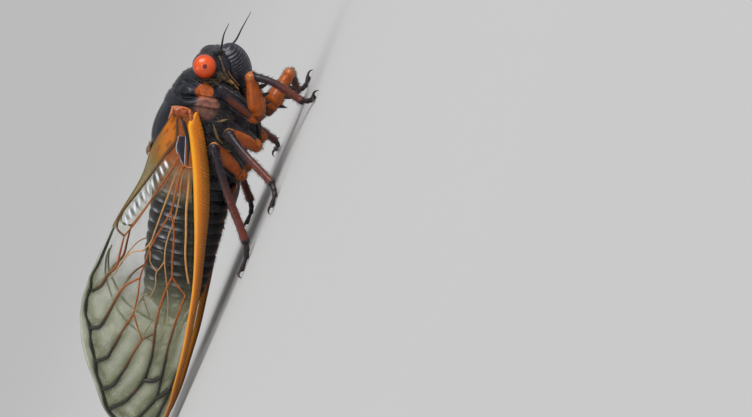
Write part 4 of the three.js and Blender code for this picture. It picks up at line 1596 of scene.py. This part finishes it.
MARGIN_VEIN = [
    (14.0, 0.965), (16.3, 0.955), (18.5, 0.955), (19.9, 0.965), (21.0, 0.94), (22.3, 0.95),
    (23.9, 0.94), (25.3, 0.89), (27.3, 0.885), (28.8, 0.87), (30.4, 0.90), (31.5, 0.885),
    (33.0, 0.91), (34.2, 0.91), (35.2, 0.84), (36.1, 0.66), (36.5, 0.42), (36.2, 0.20),
]
CELL_UPPER = [(2.0, 0.47), (3.3, 0.40), (4.2, 0.31), (4.8, 0.245)]
CELL_LOWER = [(1.7, 0.33), (2.8, 0.28), (3.8, 0.25), (4.8, 0.235)]
HIND_VEINS = {
    "upper": (
        [(4.9, 0.30), (6.0, 0.335), (8.3, 0.38), (10.5, 0.42), (12.5, 0.45), (14.3, 0.48), (15.2, 0.53)],
        0.10, 0.08,
    ),
    "upper_fork": ([(14.3, 0.48), (15.4, 0.45), (16.1, 0.44)], 0.07, 0.05),
    "upper_end": ([(15.2, 0.53), (15.8, 0.64), (17.2, 0.72), (18.9, 0.77), (19.8, 0.84)], 0.08, 0.06),
    "middle": (
        [(5.2, 0.25), (6.4, 0.26), (8.5, 0.26), (10.9, 0.28), (12.6, 0.31), (14.0, 0.32), (15.6, 0.31)],
        0.08, 0.07,
    ),
    "middle_upper": (
        [(15.6, 0.31), (16.4, 0.335), (17.0, 0.36), (18.4, 0.35), (20.4, 0.40), (22.6, 0.55)],
        0.06, 0.05,
    ),
    "middle_lower": ([(15.6, 0.31), (18.0, 0.26), (20.5, 0.22), (23.0, 0.22), (24.6, 0.27)], 0.06, 0.05),
    "link": ([(16.1, 0.44), (16.6, 0.40), (17.0, 0.36)], 0.05, 0.05),
    "front_edge": (
        [(4.85, 0.19), (7.0, 0.18), (9.3, 0.18), (12.0, 0.16), (14.7, 0.14), (15.9, 0.12), (17.3, 0.09)],
        0.15, 0.10,
    ),
}
HIND_MARGIN = [
    (16.4, 0.935), (17.2, 0.93), (18.2, 0.90), (19.2, 0.86), (20.6, 0.77), (21.6, 0.71),
    (22.5, 0.65), (23.7, 0.51), (24.4, 0.39), (24.8, 0.28), (24.5, 0.15), (23.5, 0.11),
    (21.5, 0.085),
]
print("veins a side:", len(FRONT_VEINS) + len(HIND_VEINS) + 2)

# %% [markdown]
# Each route is turned into points on the wing and swept as a fine bar. A number stored along it
# says how dark it is there: darker towards the tip and towards the rear edge, as on the insect.

# %% Finish and sweep of the veins
VEIN_PALE = (0.42, 0.44, 0.56)
VEIN_RED = (0.27, 0.050, 0.004)
VEIN_ORANGE = (0.44, 0.120, 0.008)
VEIN_BROWN = (0.12, 0.042, 0.008)
VEIN_BLACK = (0.014, 0.013, 0.006)
VEIN_SIDES = 10
THINNER = 0.82
THICKER = 1.30
STOUT_END = 0.14


def vein_finish():
    made = Finish("vein_horn")
    dark = made.value("dark")
    cloud = made.noise(0.4, 4)
    base = cloud.ramp(0.3, 0.7).paint(VEIN_RED, VEIN_ORANGE)
    base = (dark + 0.15 * (cloud - 0.5)).ramp(0.15, 0.55).paint(base, VEIN_BROWN)
    base = dark.ramp(0.5, 0.9).paint(base, VEIN_BLACK)
    base = made.value("pale").paint(base, VEIN_PALE)
    return made.close(
        Base_Color=base,
        Roughness=0.30 + 0.15 * cloud,
        Normal=made.bump(made.noise(0.12, 3), 0.02),
        Specular_IOR_Level=0.5,
    )


VEIN_HORN = vein_finish()


def vein_darkness(along, share):
    """How dark a vein is at a place: 0 for orange, 1 for black."""
    front = (along - 19.0) / 9.0
    rear = (along - 17.0) / 13.0 + (share - 0.62) * 1.9
    rearward = smooth_step(share, 0.30, 0.44)
    return np.clip(front + (rear - front) * rearward, 0, 1)


def smooth_route(route, steps=7):
    """Many places on the wing along a smooth line through a few."""
    route = np.asarray(route, float)
    marks = np.concatenate([[0], np.cumsum(np.hypot(*(np.diff(route, axis=0) * (1, 10)).T))])
    count = max(12, steps * len(route))
    return run_through([[m, *place] for m, place in zip(marks, route)])(np.linspace(0, marks[-1], count))


def add_vein(shape, route, side, first, last, dark=None, steps=7, lift=-FILM_DEPTH, edge=False, **values):
    """A vein along places on the wing, from one radius to another."""
    fine = smooth_route(route, steps)
    count = len(fine)
    points, _, _ = wing_surface(fine[:, 0], fine[:, 1], side, lift)
    shade = vein_darkness(fine[:, 0], fine[:, 1]) if dark is None else np.full(count, dark)
    _, across, over = frames_along(points)
    radius = np.linspace(first, last, count)
    if edge:
        radius = radius * (0.85 + 0.3 * smooth_step(np.abs(np.sin(fine[:, 0] * 1.55)), 0.2, 1))
    turn = np.linspace(0, 2 * np.pi, VEIN_SIDES, endpoint=False)
    rings = points[:, None] + across[:, None] * (np.cos(turn)[None, :, None] * radius[:, None, None])
    rings = rings + over[:, None] * (np.sin(turn)[None, :, None] * radius[:, None, None])
    shape.sweep(rings, dark=np.repeat(shade, VEIN_SIDES), **values)


for word, side in SIDES.items():
    veins = Shape()
    for route, first, last in FRONT_VEINS.values():
        last_scale = THICKER if last > STOUT_END else THINNER
        add_vein(veins, route, side, first * THINNER, last * last_scale)
    add_vein(veins, REAR_FOLD, side, 0.13, 0.12, 0.62)
    add_vein(veins, MARGIN_VEIN[:5], side, 0.06, 0.19, 0.95, 8)
    add_vein(veins, MARGIN_VEIN[4:], side, 0.19, 0.22, 0.95, 8, edge=True)
    rim = [(y, 0.985) for y in (-0.3, 4, 8, 12, 14.0)]
    add_vein(veins, rim, side, 0.08, 0.06, 0.5)
    for route in (CELL_UPPER, CELL_LOWER):
        add_vein(veins, route, side, 0.06, 0.05, pale=0.9)
    veins.piece("front_veins_" + word, VEIN_HORN, (), "forewing")
print("front veins a side:", len(FRONT_VEINS))

# %% [markdown]
# The film is darker by the dark veins, a painted shade in a soft border along them, and clear in
# the middle of each cell. The border is worked out from the distance to those veins, so the films
# come after them.

# %% Shape the wing films
SHADE_REACH = 0.55
FRONT_GRID = (220, 110)
HIND_GRID = (130, 70)


def shade_by_veins(along, share):
    """How much painted shade darkens the film by its dark veins: 1 on a black one, 0 mid-cell."""
    routes = [route for route, _, _ in FRONT_VEINS.values()] + [MARGIN_VEIN]
    places = np.concatenate([smooth_route(route) for route in routes])
    shades = vein_darkness(places[:, 0], places[:, 1]) * smooth_step(places[:, 0], 16, 21)
    spots, _, _ = wing_surface(places[:, 0], places[:, 1], 1)
    skin, _, _ = wing_surface(along, share, 1)
    smoke = np.zeros(skin.shape[:2])
    for spot, shade in zip(spots, shades):
        gap = np.linalg.norm(skin - spot, axis=-1)
        smoke = np.maximum(smoke, shade * hill(gap, 0, SHADE_REACH))
    return smoke


for word, side in SIDES.items():
    film = Shape()
    along = np.linspace(FOREWING_ROWS[0][0], FOREWING_ROWS[-1][0], FRONT_GRID[0])[:, None]
    share = np.linspace(0.02, 1, FRONT_GRID[1])[None, :]
    add_film(film, side, along, share, -FILM_DEPTH, 0.05, highlight_ladder, shade_by_veins)
    film.piece("front_film_" + word, FORE_FILM, ["forewing_" + word], "forewing")
    film = Shape()
    along = np.linspace(HIND_OUTLINE[0][0], HIND_OUTLINE[-1][0], HIND_GRID[0])[:, None]
    edges = hind_outline(along[:, 0])
    share = edges[:, :1] + (edges[:, 1:] - edges[:, :1]) * np.linspace(0, 1, HIND_GRID[1])[None, :]
    add_film(film, side, along, share, -HIND_DEPTH, 0.03)
    film.piece("hind_film_" + word, HIND_FILM, ["hindwing_" + word], "hindwing")
print("film points a front wing:", FRONT_GRID[0] * FRONT_GRID[1] * 2)

# %% [markdown]
# The hind wing's veins are thinner and paler, a peach orange, and a dark line follows its edge.

# %% Add the hind wing's veins
PEACH = (0.62, 0.27, 0.07)
PEACH_LIGHT = (0.70, 0.38, 0.14)
HIND_DARK = (0.020, 0.022, 0.014)


def pale_vein_finish():
    made = Finish("pale_vein_horn")
    dark = made.value("dark")
    cloud = made.noise(0.5, 3)
    base = cloud.ramp(0.3, 0.7).paint(PEACH, PEACH_LIGHT)
    base = dark.ramp(0.3, 0.8).paint(base, HIND_DARK)
    return made.close(Base_Color=base, Roughness=0.32 + 0.1 * cloud, Specular_IOR_Level=0.5)


PALE_VEIN_HORN = pale_vein_finish()
for word, side in SIDES.items():
    veins = Shape()
    for route, first, last in HIND_VEINS.values():
        add_vein(veins, route, side, first, last, 0.0, lift=-HIND_DEPTH)
    add_vein(veins, HIND_MARGIN, side, 0.09, 0.17, 0.95, lift=-HIND_DEPTH)
    veins.piece("hind_veins_" + word, PALE_VEIN_HORN, (), "hindwing")
print("hind veins a side:", len(HIND_VEINS) + 1)

# %% [markdown]
# The front edge of the front wing is one stout beam where three veins run side by side. It is
# egg-yolk yellow along its inner part and brown and finely ribbed along its outer part. A second,
# thinner amber strip borders the rear edge up to the fold, and both meet the body in a knot of
# small orange plates that work the wing.

# %% Finish and shape of the wing beams
BEAM_SEAM = (0.34, 0.07, 0.006)
BEAM_TIP = (0.16, 0.055, 0.010)
OLIVE_LIGHT = (0.30, 0.20, 0.03)
PANEL_EDGE = (0.09, 0.035, 0.008)
YOLK = (0.80, 0.34, 0.004)
YOLK_DEEP = (0.58, 0.160, 0.004)
BEAM_BROWN = (0.25, 0.085, 0.006)
OLIVE = (0.22, 0.165, 0.025)
RED_FLESH = (0.24, 0.030, 0.012)
BEAM_HALF_WIDTHS = [
    [-0.9, 0.55], [0.4, 0.78], [2.0, 0.86], [5.0, 0.90], [9.0, 0.84], [12.0, 0.66],
    [16.0, 0.50], [22.0, 0.38], [28.0, 0.31], [33.0, 0.23], [36.6, 0.12],
]
BEAM_ENDS = (-0.80, 36.6)
BEAM_SIDES = 28
PANEL_ROOT = (-0.5, 0.78)
PANEL_END = 13.8
PANEL_GRID = (110, 20)
beam_half = run_through(BEAM_HALF_WIDTHS)


def beam_finish():
    made = Finish("wing_beam")
    across = made.value("across")
    along = made.value("along")
    cloud = made.noise(0.6, 4)
    ribs = (made.y * 22.0 + made.z * 12.0 + 6.0 * cloud).wave()
    base = (across + 0.2 * (cloud - 0.5)).ramp(0.15, 0.75).paint(YOLK_DEEP, YOLK)
    outer = across.ramp(0.08, -0.40)
    brown = outer * along.ramp(0.5, 3.0) * (0.50 + 0.50 * ribs.ramp(-0.6, 0.6))
    base = brown.paint(base, BEAM_BROWN)
    inner_edge = across.ramp(0.86, 0.99) * 0.6
    base = inner_edge.paint(base, BEAM_SEAM)
    base = (along.ramp(24.0, 36.0) * 0.7).paint(base, BEAM_TIP)
    height = ribs * outer * 1.6 + made.noise(0.14, 3) * 0.6
    return made.close(
        Base_Color=base,
        Roughness=0.26 + 0.2 * cloud,
        Normal=made.bump(height, 0.03),
        Specular_IOR_Level=0.3,
        Coat_Weight=0.2,
        Coat_Roughness=0.12,
    )


def rear_panel_finish():
    """Olive horn film, which is solid orange near the root along its inner side."""
    made = Finish("rear_panel")
    across = made.value("across")
    cloud = made.noise(0.5, 4)
    near_root = (made.y + 3.0 * across + 1.5 * (cloud - 0.5)).ramp(6.5, 3.5)
    base = cloud.ramp(0.3, 0.7).paint(OLIVE, OLIVE_LIGHT)
    base = near_root.paint(base, YOLK_DEEP)
    edge = (across - 0.5).size().ramp(0.36, 0.48) * 0.7
    base = edge.paint(base, PANEL_EDGE)
    return made.close(
        Base_Color=base,
        Roughness=0.25 + 0.2 * cloud,
        Alpha=0.42 + 0.40 * near_root + 0.30 * edge,
        Normal=made.bump(made.noise(0.25, 3), 0.04),
        Specular_IOR_Level=0.35,
    )


WING_BEAM = beam_finish()
REAR_PANEL = rear_panel_finish()


def add_beam(shape, along, middle, half, tall, side, groove=0.0, **values):
    """A flattened beam that lies on the wing; half and tall are given at each station."""
    points, out, over = wing_surface(along, middle, side, -FILM_DEPTH)
    turn = np.linspace(0, 2 * np.pi, BEAM_SIDES, endpoint=False)
    cosine, sine = np.cos(turn), np.sin(turn)
    dent = 1 - groove * np.exp(-(((cosine + 0.22) / 0.13) ** 2)) * (sine > 0)
    rings = points[:, None] + over[:, None] * (cosine[None, :, None] * half[:, None, None])
    rings = rings + out[:, None] * ((sine * dent)[None, :, None] * tall[:, None, None])
    across = np.tile(cosine, len(along))
    shape.sweep(rings, across=across, along=np.repeat(along, BEAM_SIDES), **values)


def cut_length(along):
    """Rough length of the cut across the front wing near its front edge, per unit of share."""
    held = forewing_cut(np.asarray(along))
    return 2 * np.linalg.norm(held[..., 2:4] - held[..., 0:2], axis=-1)


for word, side in SIDES.items():
    beam = Shape()
    along = np.linspace(*BEAM_ENDS, 220)
    half = beam_half(along)[:, 0] * np.sqrt(smooth_step(along, -0.95, 0.9) * 0.9 + 0.1)
    middle = half / cut_length(along) - 0.01
    add_beam(beam, along, middle, half, 0.18 + 0.42 * half, side, groove=0.25)
    beam.piece("wing_beam_" + word, WING_BEAM, (), "forewing")
    panel = Shape()
    rows, columns = PANEL_GRID
    along = np.linspace(PANEL_ROOT[0], PANEL_END, rows)[:, None]
    inner = np.interp(along, *np.transpose([PANEL_ROOT, *REAR_FOLD[:9]]))
    strip = np.linspace(0, 1, columns)
    share = inner + (0.99 - inner) * strip[None, :]
    top, _, _ = wing_surface(along, share, side, -FILM_DEPTH + 0.05)
    under, _, _ = wing_surface(along, share, side, -FILM_DEPTH - 0.03)
    across = np.tile(np.concatenate([strip, strip[::-1]]), rows)
    panel.sweep(np.concatenate([top, under[:, ::-1]], axis=1), across=across)
    panel.piece("rear_panel_" + word, REAR_PANEL, (), "forewing")
print("beam length, mm:", round(BEAM_ENDS[1] - BEAM_ENDS[0], 1))

# %% [markdown]
# Between two veins at the root lies one cell that isn't clear at all: a long drop of blue-black
# ink, framed by a pale line. Above it sits the hinge, a dimpled red-orange pad with thin bars that
# follow the rear of the neck shield and run out towards the wing.

# %% Add the ink cell and the hinge plates
INK_DARK = (0.003, 0.003, 0.007)
INK_BLUE = (0.009, 0.008, 0.021)
HINGE_ORANGE = (0.50, 0.13, 0.010)
HINGE_PALE = (0.62, 0.30, 0.14)


def ink_finish():
    made = Finish("ink_cell")
    cloud = made.noise(0.5, 3)
    base = cloud.ramp(0.3, 0.7).paint(INK_DARK, INK_BLUE)
    return made.close(
        Base_Color=base,
        Roughness=0.18 + 0.15 * cloud,
        Normal=made.bump(cloud, 0.05),
        Specular_IOR_Level=0.6,
    )


def hinge_finish():
    made = Finish("wing_hinge")
    cloud = made.noise(0.4, 4)
    pale = made.value("pale")
    base = cloud.ramp(0.3, 0.7).paint(RED_FLESH, HINGE_ORANGE)
    base = (pale * cloud.ramp(0.3, 0.6)).paint(base, HINGE_PALE)
    base = made.value("black").paint(base, NIGHT)
    return made.close(
        Base_Color=base,
        Roughness=0.3 + 0.2 * cloud,
        Normal=made.bump(made.noise(0.15, 3), 0.04),
        Specular_IOR_Level=0.5,
    )


INK_CELL = ink_finish()
WING_HINGE = hinge_finish()
UPPER_EDGE = run_through([[y, s] for y, s in CELL_UPPER])
LOWER_EDGE = run_through([[y, s] for y, s in CELL_LOWER])
HINGE_PAD = ((4.48, -0.52, 0.42), (0.42, 0.58, 1.20))
HINGE_BARS = [
    (
        [(4.40, -0.80, 1.65), (4.53, -0.95, 1.20), (4.72, -1.02, 0.30), (4.78, -0.88, -0.55)],
        (0.04, 0.09, 0.10, 0.04), 0.1,
    ),
    ([(4.60, -0.75, 1.40), (4.78, -0.30, 1.40), (4.62, 0.50, 1.62)], (0.16, 0.20, 0.08), 0.3),
    ([(4.86, -0.85, -0.40), (4.96, -0.35, -0.65), (5.00, 0.20, -0.85)], (0.16, 0.26, 0.14), 0.3),
]
STRIPE_ALONG = (-0.1, 0.5, 1.6, 2.8, 4.7)
STRIPE_SHARE = (0.62, 0.45, 0.31, 0.225, 0.20)
STRIPE_HALF = (0.08, 0.20, 0.21, 0.20, 0.04)
for word, side in SIDES.items():
    ink = Shape()
    along = np.linspace(1.9, 4.75, 40)[:, None]
    share = np.linspace(0, 1, 12)[None, :]
    place = LOWER_EDGE(along)[..., 0] + (UPPER_EDGE(along) - LOWER_EDGE(along))[..., 0] * share
    bulge = -FILM_DEPTH + 0.10 * np.sin(np.pi * share)
    top, _, _ = wing_surface(along, place, side, bulge)
    under, _, _ = wing_surface(along, place, side, bulge - 0.08)
    ink.sweep(np.concatenate([top, under[:, ::-1]], axis=1))
    ink.piece("ink_cell_" + word, INK_CELL, (), "forewing")
    hinge = Shape()
    points, faces, ways = ball_points(*HINGE_PAD, 5)
    dimples = 0.05 * np.sin(points[:, 1] * 9) * np.sin(points[:, 2] * 7 + 1)
    points = (points + ways * dimples[:, None]) * (side, 1, 1)
    hinge.add(points, faces, pale=0.20 * smooth_step(points[:, 2], 0.2, 1.4))
    for route, radii, pale in HINGE_BARS:
        add_bar(hinge, [(side * x, y, z) for x, y, z in route], radii, 16, 24, 0.8, pale=pale)
    along = np.linspace(STRIPE_ALONG[0], STRIPE_ALONG[-1], 50)
    half = np.interp(along, STRIPE_ALONG, STRIPE_HALF)
    middle = np.interp(along, STRIPE_ALONG, STRIPE_SHARE)
    add_beam(hinge, along, middle, half, 0.5 * half + 0.04, side, black=1.0)
    hinge.piece("wing_hinge_" + word, WING_HINGE, (), "forewing")
print("hinge bars a side:", len(HINGE_BARS))

# %% [markdown]
# A cicada isn't bald: a few gold hairs lie under the eyes and on the cheeks, short fuzz covers the
# shield and the brow, grey hair covers the flanks and the belly, and bristles stand on the legs.
# Each hair is a real three-sided spike that bends over. It grows from a point picked at random on
# a piece and lies back the way the piece runs.

# %% Grow the hairs
HAIR_DARK = (0.016, 0.013, 0.013)
HAIR_GREY = (0.120, 0.112, 0.112)
HAIR_GOLD = (0.50, 0.34, 0.16)
HAIR_BENDS = 3
HAIR_SIDES = 3
TUFT_PATCH = 0.003
HAIR_CURL = 0.35
HAIR_SUNK = 0.02
hair_luck = np.random.default_rng(1704)


def hair_finish():
    made = Finish("hair")
    tone = made.value("tone")
    base = tone.ramp(0.0, 0.5).paint(HAIR_DARK, HAIR_GREY)
    base = tone.ramp(0.5, 1.0).paint(base, HAIR_GOLD)
    return made.close(Base_Color=base, Roughness=0.45, Specular_IOR_Level=0.3)


HAIR = hair_finish()


def places_on(piece, count, want):
    """Random places on a piece, as points and outward directions in mm; want(points) is 0 to 1."""
    mesh = piece.data
    mesh.calc_loop_triangles()
    triangles = np.zeros(len(mesh.loop_triangles) * 3, np.int32)
    mesh.loop_triangles.foreach_get("vertices", triangles)
    points = np.zeros(len(mesh.vertices) * 3)
    mesh.vertices.foreach_get("co", points)
    corners = (points.reshape(-1, 3) / MM)[triangles.reshape(-1, 3)]
    across = np.cross(corners[:, 1] - corners[:, 0], corners[:, 2] - corners[:, 0])
    weight = np.linalg.norm(across, axis=1) * want(corners.mean(axis=1))
    chosen = hair_luck.choice(len(corners), count, p=weight / weight.sum())
    mix = hair_luck.dirichlet((1, 1, 1), count)
    return (corners[chosen] * mix[:, :, None]).sum(axis=1), unit(across[chosen])


def unwrapped(points):
    """Where each point lies on the piece rolled out flat round its long axis, 0 to 1 both ways."""
    away = points - points.mean(axis=0)
    _, _, axes = np.linalg.svd(away, full_matrices=False)
    along = away @ axes[0]
    turn = np.arctan2(away @ axes[2], away @ axes[1])
    v = (along - along.min()) / (np.ptp(along) + 1e-9)
    return np.stack([(turn / (2 * np.pi) + 0.5), v], 1) * (1 - TUFT_PATCH)


def grow(name, piece, count, length, radius, flow, tone, want, rise_share=0.5):
    """Hairs as one mesh. flow is the way they lie, and rise_share how steeply they stand."""
    roots, outward = places_on(piece, count, want)
    lie = unit(np.asarray(flow, float) + hair_luck.normal(0, 0.25, (count, 3)))
    lie = unit(lie - outward * (lie * outward).sum(axis=1, keepdims=True))
    reach = length * hair_luck.uniform(0.55, 1.15, count)[:, None]
    stand = unit(outward * rise_share + lie * (1 - rise_share))
    side_way = unit(np.cross(stand, outward + 0.01))
    other_way = np.cross(stand, side_way)
    rings = []
    for bend in range(HAIR_BENDS):
        share = bend / HAIR_BENDS
        centre = roots + stand * reach * share + lie * reach * HAIR_CURL * share**2
        centre = centre - outward * HAIR_SUNK
        thick = radius * (1 - 0.75 * share)
        for side in range(HAIR_SIDES):
            turn = 2 * math.pi * side / HAIR_SIDES
            rings.append(centre + (side_way * math.cos(turn) + other_way * math.sin(turn)) * thick)
    rings.append(roots + stand * reach + lie * reach * HAIR_CURL)
    points = np.stack(rings, axis=1)
    tip_point = HAIR_BENDS * HAIR_SIDES
    faces = []
    for bend in range(HAIR_BENDS - 1):
        for side in range(HAIR_SIDES):
            a, b = bend * HAIR_SIDES + side, bend * HAIR_SIDES + (side + 1) % HAIR_SIDES
            faces += [(a, b, b + HAIR_SIDES), (a, b + HAIR_SIDES, a + HAIR_SIDES)]
    last = (HAIR_BENDS - 1) * HAIR_SIDES
    faces += [(last + side, last + (side + 1) % HAIR_SIDES, tip_point) for side in range(HAIR_SIDES)]
    faces = np.array(faces)
    per_hair = points.shape[1]
    corners = (faces[None] + (np.arange(count) * per_hair)[:, None, None]).reshape(-1)

    mesh = bpy.data.meshes.new(name)
    mesh.vertices.add(count * per_hair)
    mesh.vertices.foreach_set("co", (points * MM).reshape(-1))
    mesh.loops.add(len(corners))
    mesh.loops.foreach_set("vertex_index", corners.astype(np.int32))
    mesh.polygons.add(len(corners) // 3)
    mesh.polygons.foreach_set("loop_start", np.arange(0, len(corners), 3, dtype=np.int32))
    mesh.update(calc_edges=True)
    mesh.polygons.foreach_set("use_smooth", [True] * len(mesh.polygons))
    stored = mesh.attributes.new("tone", "FLOAT", "POINT")
    tones = np.repeat(np.clip(tone + hair_luck.normal(0, 0.12, count), 0, 1), per_hair)
    stored.data.foreach_set("value", tones.astype(np.float32))
    steps = np.arange(per_hair)
    within = np.stack([steps % HAIR_SIDES / HAIR_SIDES, steps // HAIR_SIDES / HAIR_BENDS], 1)
    within = within * TUFT_PATCH
    place = (unwrapped(roots)[:, None] + within[None]).reshape(-1, 2)
    flat = mesh.uv_layers.new(name="OFBake")
    flat.data.foreach_set("uv", place[corners].reshape(-1))
    mesh.materials.append(HAIR)
    made = bpy.data.objects.new(name, mesh)
    scene.collection.objects.link(made)
    made.matrix_world = STANCE
    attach(made, "root")
    return made


def around(at, reach):
    """1 near a place on either side of the body, falling off beyond its reach along x, y and z."""

    def want(points):
        gap = (np.abs(points * (1, 0, 0)) + points * (0, 1, 1) - np.array(at)) / np.array(reach)
        return np.exp(-(gap**2).sum(axis=1))

    return want


def everywhere(points):
    return np.ones(len(points))


def below(height, soft):
    return lambda points: smooth_step(-points[:, 2], -height - soft, -height + soft) + 1e-6


TAILWARD = (0, 1, 0)
DOWNWARD = (0, 0.6, -1)
under_eye = around((3.8, -4.15, -1.7), (1.0, 0.28, 1.0))
cheek_edge = around((2.9, -4.9, -2.7), (0.5, 0.45, 0.35))
COATS = [
    ("flank_hair", THORAX_PIECE, 8000, 0.42, 0.020, DOWNWARD, 0.42, below(-0.3, 0.8)),
    ("shield_fuzz", SHIELD_PIECE, 3500, 0.22, 0.013, TAILWARD, 0.25, everywhere),
    ("shield_gold", SHIELD_PIECE, 340, 0.36, 0.013, DOWNWARD, 0.80, under_eye),
    ("cheek_gold", HEAD_PIECE, 220, 0.34, 0.013, DOWNWARD, 0.80, cheek_edge),
    ("brow_fuzz", HEAD_PIECE, 1500, 0.25, 0.014, TAILWARD, 0.35, everywhere),
    ("belly_hair", ABDOMEN_PIECE, 9000, 0.36, 0.018, TAILWARD, 0.34, below(-0.6, 1.2)),
]
for name, pieces in LEG_PIECES.items():
    for (piece, flow), length, count in zip(pieces, (0.36, 0.30, 0.34), (700, 500, 600)):
        part = piece.name.removesuffix("_shell")
        COATS.append((part + "_hair", piece, count, length, 0.016, flow, 0.30, everywhere, 0.6))
coats = [grow(*coat) for coat in COATS]
print("hair triangles:", sum(len(coat.data.polygons) for coat in coats))

# %% [markdown]
# Last, the box of what is seen and the box of the solids are printed side by side.

# %% Measure and finish
SEEN_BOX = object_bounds()
for name, box in (("solids", CAD_BOX), ("seen", SEEN_BOX)):
    print(name, "box, mm:", [[round(v / MM, 2) for v in corner] for corner in box])
